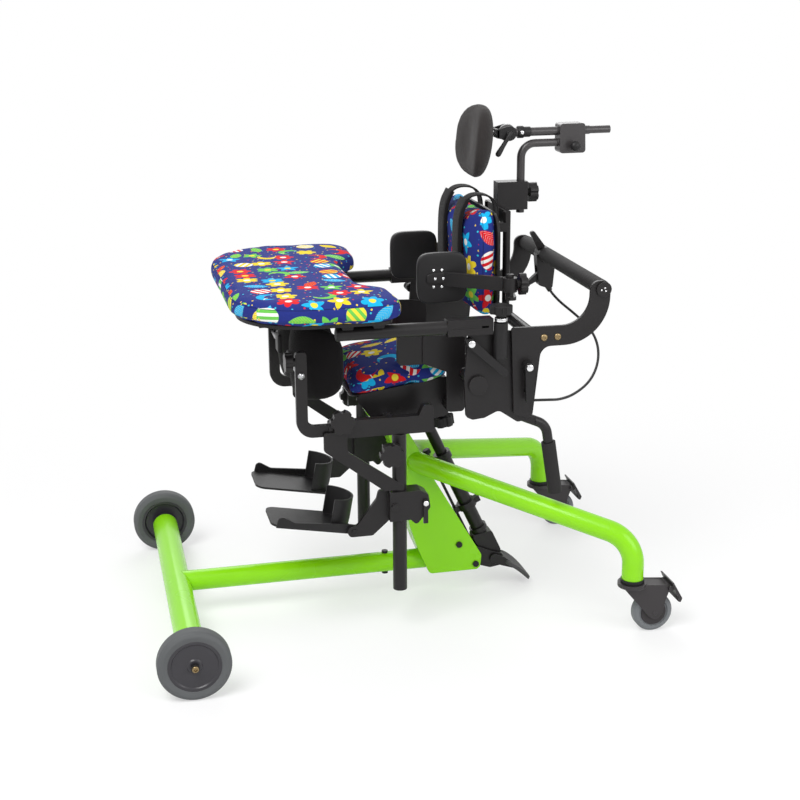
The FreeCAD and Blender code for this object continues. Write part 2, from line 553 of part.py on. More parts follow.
def side_bars():
    bars = []
    legs = []
    for name, side in SIDES:
        bar = plate("SideBar_" + name, "yz", [
            ("BarFrontY", "BarBottomZ", 3), ("BarRearY", "BarBottomZ", 3), ("BarRearY", "BarUpstandZ", 6),
            ("BarRearY - 19", "BarUpstandZ", 6), ("BarRearY - 27", "BarTopZ"), ("BarFrontY", "BarTopZ", 3)],
            "BarThick", side_x("BarX - BarThick / 2", "BarThick", side), 0, 0)
        hollow = box("BarHollow_" + name, "BarThick - 2 * BarWall", "LegTubeY + LegTubeRadius - BarFrontY",
                     "BarTopZ - BarBottomZ - 2 * 4.9",
                     side_x("BarX - BarThick / 2 + BarWall", "BarThick - 2 * BarWall", side), "BarFrontY",
                     "BarBottomZ + 4.9")
        shell = cut("BarShell_" + name, bar, [hollow])
        outer = size("BarX") + size("BarThick") / 2
        knob = star_knob("BarKnob_" + name, size("KnobRadius"), size("KnobHeight"), "x",
                         side * (outer + 6), size("BarFrontY") + 22, size("BarTopZ") + 3, side)
        bars.append(fuse("SideBarSet_" + name, [shell, knob]))
        height = "BarBottomZ - LegTubeBottomZ"
        leg = tube("LegUpright_" + name, "LegTubeRadius", "TubeWall", height, "z", "BarX * %d" % side, "LegTubeY",
                   "LegTubeBottomZ")
        cap = cylinder("LegUprightCap_" + name, "LegTubeRadius - TubeWall", 8, "z", "BarX * %d" % side, "LegTubeY",
                       "LegTubeBottomZ")
        brace = plate("Brace_" + name, "yz", [
            ("BarFrontY - 10", "BarTopZ - 18", 5), ("BarFrontY + 32", "BarTopZ - 18", 5), ("BarFrontY + 32", "BarBottomZ - 23", 12),
            ("LegTubeY - 8", "CarrierTopZ + 20", 8), ("LegTubeY + 6", "CarrierTopZ + 10", 4), ("LegTubeY + 6", "CarrierTopZ + 3", 2),
            ("LegTubeY - 30", "CarrierTopZ + 3", 8), ("BarFrontY - 10", "BarBottomZ - 20", 8)], "BraceThick",
            side_x("BarX + BarThick / 2", "BraceThick", side), 0, 0)
        boss = box("BraceBoss_" + name, "BarThick / 2 + 1", "LegTubeRadius", 17,
                   side_x("BarX", "BarThick / 2 + 1", side), "LegTubeY - LegTubeRadius + 4",
                   "CarrierTopZ + 3")
        knob = star_knob("TubeKnob_" + name, size("KnobRadius"), size("KnobHeight"), "x",
                         side * (size("BarX") + size("LegTubeRadius") + 5), size("LegTubeY") - 19,
                         size("BarBottomZ") - 32, side)
        lug = box("TubeKnobLug_" + name, "BarThick", 22, 24, side_x("BarX - BarThick / 2", "BarThick", side),
                  "LegTubeY - 30", "BarBottomZ - 44")
        stud = cylinder("TubeKnobStud_" + name, 5, "LegTubeRadius + 6", "x",
                        side_x("BarX", "LegTubeRadius + 6", side), "LegTubeY - 19", "BarBottomZ - 32")
        keep = cylinder("LegUprightBore_" + name, "LegTubeRadius - TubeWall", height, "z", "BarX * %d" % side,
                        "LegTubeY", "LegTubeBottomZ + 8")
        solid = fuse("LegTubeSet_" + name, [leg, brace, boss, lug, stud, knob])
        legs.append(fuse("LegTubeWhole_" + name, [cut("LegTubeCut_" + name, solid, [keep]), cap]))
    node("side_bars", group("SideBars", bars))
    node("leg_tubes", group("LegTubes", legs))


# Knee arms slide in the side bars; the pads tilt on a cross pin at their tops
def knee_supports():
    for name, side in SIDES:
        low = "BarBottomZ + 4.9 + SeatGap"
        high = "BarTopZ - 4.9 - SeatGap"
        arm = plate("KneeArm_" + name, "yz", [
            ("LegTubeY - 39", low), ("KneeArmFrontY", low, 30), ("KneeArmFrontY", "KneeArmTopZ", 6),
            ("KneeArmFrontY + KneeArmWidth", "KneeArmTopZ", 6), ("KneeArmFrontY + KneeArmWidth", high, 12),
            ("LegTubeY - 39", high)], "KneeArmThick", side_x("BarX - KneeArmThick / 2", "KneeArmThick", side), 0, 0)
        knob = star_knob("KneeKnob_" + name, size("KnobRadius") - 4, size("KnobHeight") - 2, "y",
                         side * size("BarX"), size("KneeArmFrontY") - 5, size("KneeBarZ"), -1)
        bore = cylinder("KneeBore_" + name, "KneeBarRadius + RunningGap", 40, "x", "BarX * %d - 20" % side,
                        "KneeArmFrontY + KneeArmWidth / 2", "KneeBarZ - 24")
        node("knee_arm_" + name, fuse("KneeArmSet_" + name, [cut("KneeArmCut_" + name, arm, [bore]), knob]))
        x = "KneePadX * %d" % side
        outer = cylinder("KneeOuter_" + name, "KneePadOuter", "2 * KneePadReach", "z", x, "KneePadY",
                         "KneePadZ - KneePadReach")
        inner = cylinder("KneeInner_" + name, "KneePadOuter - KneePadThick", "2 * KneePadReach", "z", x, "KneePadY",
                         "KneePadZ - KneePadReach")
        back = box("KneeBack_" + name, "2 * KneePadOuter", "KneePadOuter", "2 * KneePadReach",
                   x + " - KneePadOuter", "KneePadY + 14", "KneePadZ - KneePadReach")
        disc = cylinder("KneeDisc_" + name, "KneePadReach", "2 * KneePadOuter", "x", x + " - KneePadOuter",
                        "KneePadY - 50", "KneePadZ")
        cup = common("KneeCup_" + name, cut("KneeRing_" + name, outer, [inner, back]), disc)
        pin_length = "BarX + KneeArmThick / 2 + 3 - KneePadX"
        pin = cylinder("KneePin_" + name, "KneeBarRadius", pin_length, "x", side_x("KneePadX", pin_length, side),
                       "KneeArmFrontY + KneeArmWidth / 2", "KneeBarZ - 24")
        block = box("KneeBlock_" + name, 34, "KneePadY - KneePadOuter + 10 - (KneeArmFrontY + KneeArmWidth / 2) + 8", 36,
                    x + " - 17", "KneeArmFrontY + KneeArmWidth / 2 - 8", "KneeBarZ - 42")
        hollow = cylinder("KneeClear_" + name, "KneePadOuter - KneePadThick", "2 * KneePadReach", "z", x, "KneePadY",
                          "KneePadZ - KneePadReach")
        stem = cut("KneeStem_" + name, block, [hollow])
        node("knee_pad_" + name, fuse("KneePadSet_" + name, [cup, stem, pin]))


def foot_supports():
    for name, side in SIDES:
        bore = cylinder("CarrierBore_" + name, "LegTubeRadius + SlideGap", 200, "z", "BarX * %d" % side, "LegTubeY",
                        "CarrierTopZ - 150")
        clamp = plate("CarrierClamp_" + name, "yz", [
            ("LegTubeY - 21", "CarrierTopZ", 4), ("CarrierRearY", "CarrierTopZ", 4), ("CarrierRearY + 14", "CarrierTopZ - 8", 4),
            ("CarrierRearY + 18", "CarrierTopZ - 34", 8), ("CarrierRearY - 8", "CarrierTopZ - 66", 6),
            ("CarrierRearY - 19", "CarrierTopZ - 55"), ("LegTubeY - 21", "CarrierTopZ - 56")], "2 * CarrierHalf",
            "BarX * %d - CarrierHalf" % side, 0, 0)
        arm = plate("CarrierArm_" + name, "yz", [
            ("LegTubeY - 38", "CarrierTopZ", 6), ("LegTubeY - 16", "CarrierTopZ"), ("LegTubeY - 16", "CarrierTopZ - 56"),
            ("FootHingeY + 34", "FootHingeZ - 10", 8), ("FootHingeY - 12", "FootHingeZ - 10", 9),
            ("FootHingeY - 12", "FootHingeZ + 8", 9), ("FootHingeY + 6", "FootHingeZ + 12", 8),
            ("LegTubeY - 42", "CarrierTopZ - 16", 12)], 8, side_x("FootPlateOuterX + 6", 8, side), 0, 0)
        hole = cylinder("CarrierHole_" + name, "FootPinRadius + RunningGap", 30, "x",
                        side_x("FootPlateOuterX - 5", 30, side), "FootHingeY", "FootHingeZ")
        lever = box("CarrierLever_" + name, 6, 8, 44, side_x("BarX + CarrierHalf", 6, side),
                    "CarrierRearY + 4", "CarrierTopZ - 62")
        bolt = cylinder("CarrierBolt_" + name, 7, 4, "x", side_x("BarX + CarrierHalf", 4, side), "LegTubeY - 12",
                        "CarrierTopZ - 28")
        body = fuse("CarrierBody_" + name, [clamp, arm, lever, bolt])
        node("foot_carrier_" + name, cut("Carrier_" + name, body, [bore, hole]))

        hinge = Vector(0, size("FootHingeY"), size("FootHingeZ"))
        width = "FootPlateOuterX - FootPlateInnerX"
        start = side_x("FootPlateInnerX", width, side)
        board = plate("FootBoard_" + name, "xy", [
            (0, "FootHingeY - FootPlateLength", 18), (width, "FootHingeY - FootPlateLength", 18), (width, "FootHingeY"),
            (0, "FootHingeY", 12)], "FootPlateThick", start, 0, "FootHingeZ - FootPlateThick - 4")
        flange = plate("FootFlange_" + name, "yz", [
            ("FootHingeY - FootPlateLength + 8", "FootHingeZ - FootPlateThick - 4"), ("FootHingeY + 9", "FootHingeZ - 8", 6),
            ("FootHingeY + 9", "FootHingeZ + 9", 8), ("FootHingeY - 12", "FootHingeZ + 10", 8),
            ("FootHingeY - FootPlateLength + 40", "FootHingeZ + 4", 10),
            ("FootHingeY - FootPlateLength + 10", "FootHingeZ + FootFlangeHeight - 8", 8)], 4,
            side_x("FootPlateOuterX", 4, side), 0, 0)
        pin = cylinder("FootPin_" + name, "FootPinRadius", 14, "x", side_x("FootPlateOuterX + 2", 14, side),
                       "FootHingeY", "FootHingeZ")
        middle = "(FootPlateInnerX + FootPlateOuterX) / 2 * %d" % side
        cup = cylinder("HeelOuter_" + name, 42, "HeelCupHeight", "z", middle, "FootHingeY - 41",
                       "FootHingeZ - 8 + 0.5")
        void = cylinder("HeelInner_" + name, 38, "HeelCupHeight + 10", "z", middle, "FootHingeY - 41", "FootHingeZ - 10")
        front = box("HeelFront_" + name, 100, 50, "HeelCupHeight + 10", middle + " - 50", "FootHingeY - 91",
                    "FootHingeZ - 10")
        arch = cylinder("HeelArch_" + name, 20, 60, "y", middle, "FootHingeY - 30", "FootHingeZ - 6")
        heel = cut("HeelCup_" + name, cup, [void, front, arch])
        whole = fuse("FootPlateSet_" + name, [board, flange, pin, heel])
        turned_about(whole, -size("FootPlateTilt"), hinge)
        node("footplate_" + name, whole)


# Seat: everything is drawn level about the pivot, then leaned by the seat's rest angle
def seat():
    pivot = Vector(0, size("PivotY"), size("PivotZ"))
    lean = size("SeatTilt")
    away = size("HipY") - size("PivotY")
    rise = size("HipZ") - size("PivotZ")
    hip_along = away * math.cos(math.radians(lean)) + rise * math.sin(math.radians(lean))
    hip_up = rise * math.cos(math.radians(lean)) - away * math.sin(math.radians(lean))
    pieces = []
    bores = []
    for name, side in SIDES:
        pieces.append(plate("SeatPlate_" + name, "yz", [
            ("PivotY - 52", "PivotZ + SeatPanHeight", 6), ("PivotY - SeatHubRadius", "PivotZ - 8", 18),
            ("PivotY - 10", "PivotZ - SeatHubRadius - 1", 8), ("PivotY + 30", "PivotZ - SeatHubRadius - 1", 8),
            ("PivotY + 112", "PivotZ - SeatHubRadius - 1", 12), ("PivotY + 134", "PivotZ + 6"),
            ("PivotY + %.3f" % (hip_along + 17), "PivotZ + %.3f" % (hip_up - 12), 12),
            ("PivotY + %.3f" % (hip_along + 17), "PivotZ + %.3f" % (hip_up + 17), 12),
            ("PivotY + %.3f" % (hip_along - 17), "PivotZ + %.3f" % (hip_up + 17), 12),
            ("PivotY + %.3f" % (hip_along - 17), "PivotZ + SeatPanHeight", 6)],
            "SeatPlateThick", side_x("SeatPanHalf", "SeatPlateThick", side), 0, 0))
        lug_top = "PivotZ + SeatPanHeight"
        pieces.append(plate("RodLug_" + name, "yz", [
            ("PivotY + LugForward - 22", lug_top), ("PivotY + LugForward - 12", "PivotZ + LugDrop - 11", 9),
            ("PivotY + LugForward + 12", "PivotZ + LugDrop - 11", 9), ("PivotY + LugForward + 22", lug_top)], 5,
            side_x("RodRadius + 4", 5, side), 0, 0))
        bores.append(cylinder("LugHole_" + name, 5, 20, "x", side_x("RodRadius", 20, side), "PivotY + LugForward",
                              "PivotZ + LugDrop"))
    pan = plate("SeatPan", "xy", [
        ("-SeatPanHalf - SeatPlateThick", "PivotY + SeatPanFront", 20),
        ("SeatPanHalf + SeatPlateThick", "PivotY + SeatPanFront", 20),
        ("SeatPanHalf + SeatPlateThick", "PivotY + SeatPanRear"),
        ("-SeatPanHalf - SeatPlateThick", "PivotY + SeatPanRear")], "SeatPanThick", 0, 0,
        "PivotZ + SeatPanHeight")
    pieces.append(pan)
    bores.append(cylinder("SeatHubBore", "PivotTubeRadius + RunningGap", "2 * SeatPanHalf + 40", "x",
                          "-SeatPanHalf - 20", "PivotY", "PivotZ"))
    bores.append(cylinder("SeatHipBore", "HipTubeRadius + RunningGap", "2 * SeatPanHalf + 40", "x",
                          "-SeatPanHalf - 20", "PivotY + %.3f" % hip_along, "PivotZ + %.3f" % hip_up))
    frame = cut("SeatFrame", fuse("SeatFrameBody", pieces), bores)
    turned_about(frame, lean, pivot)
    node("seat_frame", frame)

    half = size("CushionHalf")
    bottom = size("PivotZ") + size("SeatPanHeight") + size("SeatPanThick") + size("SeatGap")
    thick = size("CushionThick")
    start = size("CushionFront") + size("PivotY")
    span = size("CushionRear") - size("CushionFront")
    stations = ((0, 0.90, 0.35, 0.42), (0.06, 0.96, 0.58, 0.80), (0.25, 1.0, 0.72, 1.05), (0.6, 1.0, 0.72, 1.08),
                (0.93, 0.97, 0.62, 0.86), (1.0, 0.92, 0.4, 0.5))
    shape = crowned([(start + span * along, half * wide - 6, bottom, bottom + thick * side, bottom + thick * crown)
                     for along, wide, side, crown in stations])
    cushion = made("SeatCushion", shape)
    turned_about(cushion, lean, pivot)
    node("seat_cushion", cushion)

    guides = []
    for name, side in SIDES:
        pad = plate("GuidePad_" + name, "yz", [
            ("PivotY + 14", "PivotZ + 106", 10), ("PivotY + 74", "PivotZ + 106", 10), ("PivotY + 74", "PivotZ + 168", 10),
            ("PivotY + 14", "PivotZ + 168", 10)], 8, side_x("CushionHalf + 4", 8, side), 0, 0)
        stay = plate("GuideStay_" + name, "yz", [
            ("PivotY + 60", "PivotZ + 108", 4), ("PivotY + 104", "PivotZ + 90", 4), ("PivotY + 104", "PivotZ + 14", 8),
            ("PivotY + 138", "PivotZ + 14", 8), ("PivotY + 138", "PivotZ + 154", 6), ("PivotY + 104", "PivotZ + 158", 6),
            ("PivotY + 60", "PivotZ + 160", 4)], 4, side_x("CushionHalf + 12", 4, side), 0, 0)
        reach = "CushionHalf + 12 - SeatPanHalf - SeatPlateThick"
        foot = box("GuideFoot_" + name, reach, 24, 14, side_x("SeatPanHalf + SeatPlateThick", reach, side), "PivotY + 106",
                   "PivotZ + 16")
        clear = cylinder("GuideClear_" + name, "HipTubeRadius + 1.5", 40, "x", side_x("CushionHalf", 40, side), "HipY",
                         "HipZ")
        guides.append(cut("GuideCut_" + name, fuse("Guide_" + name, [pad, stay, foot]), [clear]))
    node("thigh_guides", group("ThighGuides", guides))

    stem_top = size("PivotZ") + size("SeatPanHeight")
    knob = star_knob("DepthKnobHead", size("KnobRadius") - 1, size("KnobHeight") + 3, "z", size("DepthKnobX"),
                     size("PivotY") + size("DepthKnobForward") - 22, stem_top - 86, -1)
    stem = cylinder("DepthKnobStem", 6, 84, "z", "DepthKnobX", "PivotY + DepthKnobForward - 22",
                    "PivotZ + SeatPanHeight - 84")
    depth = fuse("DepthKnob", [knob, stem])
    turned_about(depth, lean, pivot)
    node("seat_depth_knob", depth)


def hip():
    length = "2 * (SidePlateX + SidePlateThick)"
    outer = cylinder("HipTube_outer", "HipTubeRadius", length, "x", "-(SidePlateX + SidePlateThick)", "HipY", "HipZ")
    bore = cylinder("HipTube_bore", "HipTubeRadius - TubeWall", length, "x", "-(SidePlateX + SidePlateThick)", "HipY",
                    "HipZ")
    pieces = [cut("HipTube", outer, [bore])]
    for name, side in SIDES:
        lug_x = "LinkX + LinkThick / 2 + 3"
        lug = plate("HipLug_" + name, "yz", [
            ("HipY - 14", "HipZ - 14", 10), ("HipY + HipLug + 10", "HipZ - 10", 9), ("HipY + HipLug + 10", "HipZ + 10", 9),
            ("HipY - 14", "HipZ + 14", 10)], 6, side_x(lug_x, 6, side), 0, 0)
        clear = cylinder("HipLugClear_" + name, "HipTubeRadius - TubeWall", length, "x",
                         "-(SidePlateX + SidePlateThick)", "HipY", "HipZ")
        pin = cylinder("HipPin_" + name, "LinkPinRadius", "LinkThick + 5", "x",
                       side_x("LinkX - LinkThick / 2 - 2", "LinkThick + 5", side), "HipY + HipLug", "HipZ")
        cap = cylinder("HipCap_" + name, 17, 6, "x", side_x("SidePlateX + SidePlateThick + SeatGap", 6, side), "HipY",
                       "HipZ")
        plug = cylinder("HipPlug_" + name, "HipTubeRadius - TubeWall", 12, "x",
                        side_x("SidePlateX + SidePlateThick + SeatGap - 10", 12, side), "HipY", "HipZ")
        pieces += [cut("HipLugCut_" + name, lug, [clear]), pin, cap, plug]
    node("hip_yoke", fuse("HipYoke", pieces))

    links = []
    run_y = size("HipY") - size("PivotY")
    run_z = size("HipZ") - size("PivotZ")
    reach = math.hypot(run_y, run_z)
    slope = math.degrees(math.atan2(run_z, run_y))
    start = Vector(0, size("PivotY") + size("HipLug"), size("PivotZ"))
    for name, side in SIDES:
        bar = plate("LinkBar_" + name, "yz", [
            (-10, "-LinkHalfHeight", 7), ("%.4f + 10" % reach, "-LinkHalfHeight", 7), ("%.4f + 10" % reach, "LinkHalfHeight", 7),
            (-10, "LinkHalfHeight", 7)], "LinkThick", side_x("LinkX - LinkThick / 2", "LinkThick", side), 0, 0)
        near = cylinder("LinkNear_" + name, "LinkPinRadius + RunningGap", 30, "x", side_x("LinkX - 15", 30, side), 0, 0)
        far = cylinder("LinkFar_" + name, "LinkPinRadius + LinkOpenGap", 30, "x", side_x("LinkX - 15", 30, side),
                       "%.4f" % reach, 0)
        links.append(cut("Link_" + name, bar, [near, far]))
    pair = group("LevelLinks", links)
    pair.Placement = Placement(start, Rotation(Vector(1, 0, 0), slope))
    node("level_links", pair)


# Foot pump: drawn upright over its lower pin, then leaned forward to the seat lug
def pump():
    brackets = []
    for name, side in SIDES:
        brackets.append(plate("PumpEar_" + name, "yz", [
            ("MastFootRearY + 2.5", "MastFootZ + 2", 2), ("PumpY - 8", "PumpZ - 20", 8), ("PumpY + 18", "PumpZ - 16", 8),
            ("PumpY + 18", "PumpZ + 8", 8), ("PumpY - 4", "PumpZ + 14", 8), ("MastFootRearY - 6", "MastFootZ + 44", 4)],
            "BracketThick", side_x("PumpBodyHalf + 2", "BracketThick", side), 0, 0))
    bolt = cylinder("PumpBolt", 5, "2 * (PumpBodyHalf + 2 + BracketThick + 4)", "x",
                    "-(PumpBodyHalf + 2 + BracketThick + 4)", "PumpY", "PumpZ")
    cope = mast_outline("PumpMastCope", "MastHalfWidth")
    node("pump_bracket", cut("PumpBracket", fuse("PumpBracketBody", brackets + [bolt]), [cope]))

    pin = Vector(0, size("PumpY"), size("PumpZ"))
    block = plate("PumpBlock", "yz", [
        ("PumpY - 16", "PumpZ - 12", 6), ("PumpY + 12", "PumpZ - 12", 6), ("PumpY + 20", "PumpZ + 8", 6),
        ("PumpY + 20", "PumpZ + 52", 6), ("PumpY - 20", "PumpZ + 62", 6)], "2 * PumpBodyHalf", "-PumpBodyHalf", 0, 0)
    barrel = cylinder("PumpBarrel", "PumpCylinderRadius", "PumpCylinderLength - 45", "z", 0, "PumpY", "PumpZ + 45")
    neck = cylinder("PumpNeck", "PumpCylinderRadius + 4", 8, "z", 0, "PumpY", "PumpZ + 62")
    collar = cylinder("PumpCollar", "PumpCylinderRadius + 5", 14, "z", 0, "PumpY", "PumpZ + 116")
    lugs = box("PumpCollarLugs", 12, 56, 12, -6, "PumpY - 28", "PumpZ + 117")
    gland = cylinder("PumpGland", "PumpCylinderRadius + 3.5", 14, "z", 0, "PumpY",
                     "PumpZ + PumpCylinderLength - 14")
    bore = cylinder("PumpBore", "RodRadius + RunningGap", "PumpCylinderLength - 70", "z", 0, "PumpY", "PumpZ + 70.5")
    hole = cylinder("PumpHole", "5 + RunningGap", 60, "x", -30, "PumpY", "PumpZ")
    body = cut("PumpBody", fuse("PumpBodySet", [block, barrel, neck, collar, lugs, gland]), [bore, hole])
    turned_about(body, size("PumpLean"), pin)
    node("pump_cylinder", body)

    shaft = cylinder("RodShaft", "RodRadius", "RodEye - 110", "z", 0, "PumpY", "PumpZ + 100")
    eye = cylinder("RodEyeBoss", "RodRadius + 2", "2 * RodRadius + 2", "x", "-RodRadius - 1", "PumpY", "PumpZ + RodEye")
    hole = cylinder("RodEyeHole", 5, 60, "x", -30, "PumpY", "PumpZ + RodEye")
    rod = cut("PistonRod", fuse("PistonRodSet", [shaft, eye]), [hole])
    turned_about(rod, size("PumpLean"), pin)
    node("piston_rod", rod)

    pad = plate("PedalPad", "xy", [
        (-31, "PumpY + 24", 14), (31, "PumpY + 24", 14), (36, "PumpY + 60", 24), (16, "PumpY + 88", 14),
        (-24, "PumpY + 88", 20), (-36, "PumpY + 50", 20)], 8, 0, 0, "PumpZ - 2")
    arms = []
    for name, side in SIDES:
        arms.append(plate("PedalArm_" + name, "yz", [
            ("PumpY - 10", "PumpZ - 9", 8), ("PumpY + 20", "PumpZ - 9", 5), ("PumpY + 50", "PumpZ - 1", 1), ("PumpY + 50", "PumpZ + 1"),
            ("PumpY + 18", "PumpZ + 9", 5), ("PumpY - 10", "PumpZ + 9", 8)], 4,
            side_x("PumpBodyHalf + 2 + BracketThick + 0.5", 4, side), 0, 0))
    hole = cylinder("PedalHole", "5 + RunningGap", 80, "x", -40, "PumpY", "PumpZ")
    pedal = cut("FootPedal", fuse("FootPedalSet", [pad] + arms), [hole])
    turned_about(pedal, -24, pin)
    node("foot_pedal", pedal)


# Lower back: side plates with their tray channels, clamp posts, rear grip and slot clamps
def lower_back():
    posts = []
    for name, side in SIDES:
        flat_plate = plate("SidePlate_" + name, "yz", [
            ("HipY - 17", "RailZ - ChannelHalfHeight"), ("HipY - 24", "HipZ + 12", 14), ("HipY - 21", "HipZ - 58", 8),
            ("HipY - 9", "HipZ - 64", 8), ("HipY + 13", "HipZ - 62", 8), ("HipY + 39", "HipZ - 50", 12),
            ("HipY + 78", "HipZ - 77", 10), ("StudY + 11", "HipZ - 56", 8), ("StudY + 11", "StudZ + 12", 9),
            ("StudY - 8", "RailZ - ChannelHalfHeight", 8)], "SidePlateThick", side_x("SidePlateX", "SidePlateThick", side), 0, 0)
        channel = box("Channel_" + name, "2 * ChannelHalf", "ChannelRearY - ChannelFrontY", "2 * ChannelHalfHeight",
                      side_x("RailX - ChannelHalf", "2 * ChannelHalf", side), "ChannelFrontY",
                      "RailZ - ChannelHalfHeight")
        foot = box("PostFoot_" + name, "PostX + 1 - SidePlateX", 16, 10, side_x("SidePlateX", "PostX + 1 - SidePlateX", side),
                   "PostY - 8", "RailZ - PostFootDrop - 10")
        stud = cylinder("SlotStud_" + name, "StudRadius", "BackPlateThick + 16", "x",
                        side_x("SidePlateX + SidePlateThick", "BackPlateThick + 16", side), "StudY", "StudZ")
        rail_bore = cylinder("RailBore_" + name, "RailRadius + SlideGap", 300, "y", "RailX * %d" % side,
                             "ChannelFrontY - 50", "RailZ")
        hip_bore = cylinder("HipBore_" + name, "HipTubeRadius + RunningGap", 40, "x",
                            side_x("SidePlateX - 10", 40, side), "HipY", "HipZ")
        slit = box("ChannelSlit_" + name, 8, "ChannelRearY - ChannelFrontY - 16", 4,
                   side_x("RailX + ChannelHalf - 6", 8, side), "ChannelFrontY + 8", "RailZ - 2")
        body = fuse("SidePlateSet_" + name, [flat_plate, channel, foot, stud])
        node("side_plate_" + name, cut("SidePlateCut_" + name, body, [rail_bore, hip_bore, slit]))

        x = "PostX * %d" % side
        rod = cylinder("PostRod_" + name, 7, "PostTopZ - RailZ + PostFootDrop", "z", x, "PostY", "RailZ - PostFootDrop")
        sleeve = cylinder("PostSleeve_" + name, "PostSleeveRadius", "PostSleeveLength", "z", x, "PostY",
                          "RailZ - PostFootDrop")
        collar = cylinder("PostCollar_" + name, "PostSleeveRadius - 2", 7, "z", x, "PostY",
                          "RailZ - PostFootDrop + PostSleeveLength + 2")
        knob = star_knob("PostKnob_" + name, size("KnobRadius") - 2, size("KnobHeight") - 1, "z",
                         side * size("PostX"), size("PostY"), size("PostTopZ"))
        hub = cylinder("TrayLeverHub_" + name, 8, 16, "x",
                       side_x("SidePlateX + SidePlateThick", 16, side), "HipY - 17", "RailZ - ChannelHalfHeight - 14")
        handle = plate("TrayLever_" + name, "yz", [
            (-9, -8, 7), (88, -6, 5), (88, 6, 5), (-9, 8, 7)], 6,
            side_x("SidePlateX + SidePlateThick + 15", 6, side), "HipY - 17", "RailZ - ChannelHalfHeight - 14")
        handle.Placement.Rotation = Rotation(Vector(1, 0, 0), -43)
        posts.append(fuse("Post_" + name, [rod, sleeve, collar, knob]))
        posts.append(fuse("TrayClamp_" + name, [hub, handle]))

        lever_x = "BackPlateX + BackPlateThick + 1"
        boss = cylinder("SlotBoss_" + name, 9, 18, "x", side_x(lever_x, 18, side), "StudY", "StudZ")
        grip = plate("SlotGrip_" + name, "yz", [
            ("StudY - 8", "StudZ + 9", 6), ("StudY - 5", "StudZ - LeverLength", 5), ("StudY + 7", "StudZ - LeverLength", 5),
            ("StudY + 10", "StudZ + 9", 6)], 6, side_x("BackPlateX + BackPlateThick + 12", 6, side), 0, 0)
        bore = cylinder("SlotLeverBore_" + name, "StudRadius + RunningGap", 40, "x", side_x("BackPlateX", 40, side),
                        "StudY", "StudZ")
        node("slot_lever_" + name, cut("SlotLever_" + name, fuse("SlotLeverSet_" + name, [boss, grip]), [bore]))
    node("clamp_posts", group("ClampPosts", posts))

    x = size("GripX")
    top = Vector(x, size("HipY") + 68, size("HipZ") - 60)
    corner = Vector(x, size("HipY") + 132, size("HipZ") - 88)
    end = Vector(x, size("HipY") + 152, size("HipZ") - 214)
    path = [top, corner, end]
    bent = made("GripBend", bent_tube(path, [30], size("GripRadius"), 0))
    beside = box("GripFlat", 20, 60, 60, "SidePlateX", "HipY + 50", "HipZ - 100")
    node("grip_tube", cut("GripTube", bent, [beside]))
    down = (end - corner).normalize()
    cover = 94
    base = end - down * cover
    ring = Part.makeCylinder(size("GripSleeveRadius"), cover + 4, base, down)
    hole = Part.makeCylinder(size("GripRadius") + size("RunningGap"), cover + size("SeatGap"), base, down)
    node("grip_sleeve", made("GripSleeve", ring.cut(hole)))


# Tray outline, drawn in by an inset; the cover has none and hides the board's edge
def tray_outline(inset):
    front = "TrayFrontRound - " + inset
    rear = "TrayRearRound - " + inset
    near = "TrayFrontY + " + inset
    far = "TrayRearY - " + inset
    dip = "TrayRearY - TrayCutDepth - " + inset
    return [
        ("-TrayHalf + " + inset, near, front), ("TrayHalf - " + inset, near, front), ("TrayHalf - " + inset, far, rear),
        ("TrayCutHalf", far, 20), ("TrayCutHalf - 50", dip, 60), ("-TrayCutHalf + 50", dip, 60),
        ("-TrayCutHalf", far, 20), ("-TrayHalf + " + inset, far, rear),
    ]


def tray():
    rails = []
    for name, side in SIDES:
        rail = tube("TrayRail_" + name, "RailRadius", "TubeWall", "RailRearY - RailFrontY", "y",
                    "RailX * %d" % side, "RailFrontY", "RailZ")
        saddles = []
        for number, y in enumerate(("RailFrontY + 12", "TrayRearY - 60")):
            saddles.append(box("Saddle%d_%s" % (number, name), 26, 22, "TrayBoardZ - RailZ",
                               "RailX * %d - 13" % side, y, "RailZ"))
        hollow = cylinder("SaddleBore_" + name, "RailRadius - TubeWall", "RailRearY - RailFrontY", "y",
                          "RailX * %d" % side, "RailFrontY", "RailZ")
        shaped = cut("SaddleCut_" + name, fuse("SaddleSet_" + name, saddles), [hollow])
        rails.append(fuse("Rail_" + name, [rail, shaped]))
    node("tray_rails", group("TrayRails", rails))
    pad = plate("TrayPad", "xy", tray_outline("0"), "TrayPadThick", 0, 0, "TrayBoardZ + TrayBoardThick + SeatGap")
    board = plate("TrayBoard", "xy", tray_outline("TrayBoardInset"), "TrayBoardThick", 0, 0, "TrayBoardZ")
    node("tray_board", board)
    doc.recompute()
    top = size("TrayPadThick")
    names = []
    for number, edge in enumerate(pad.Tip.Shape.Edges):
        if all(abs(vertex.Point.z - top) < 1e-3 for vertex in edge.Vertexes):
            names.append("Edge%d" % (number + 1))
    last = pad.Tip
    fillet = pad.newObject("PartDesign::Fillet", "TrayPad_edge")
    fillet.Base = (last, names)
    bind(fillet, "Radius", "TrayEdgeRound")
    node("tray_cover", pad)


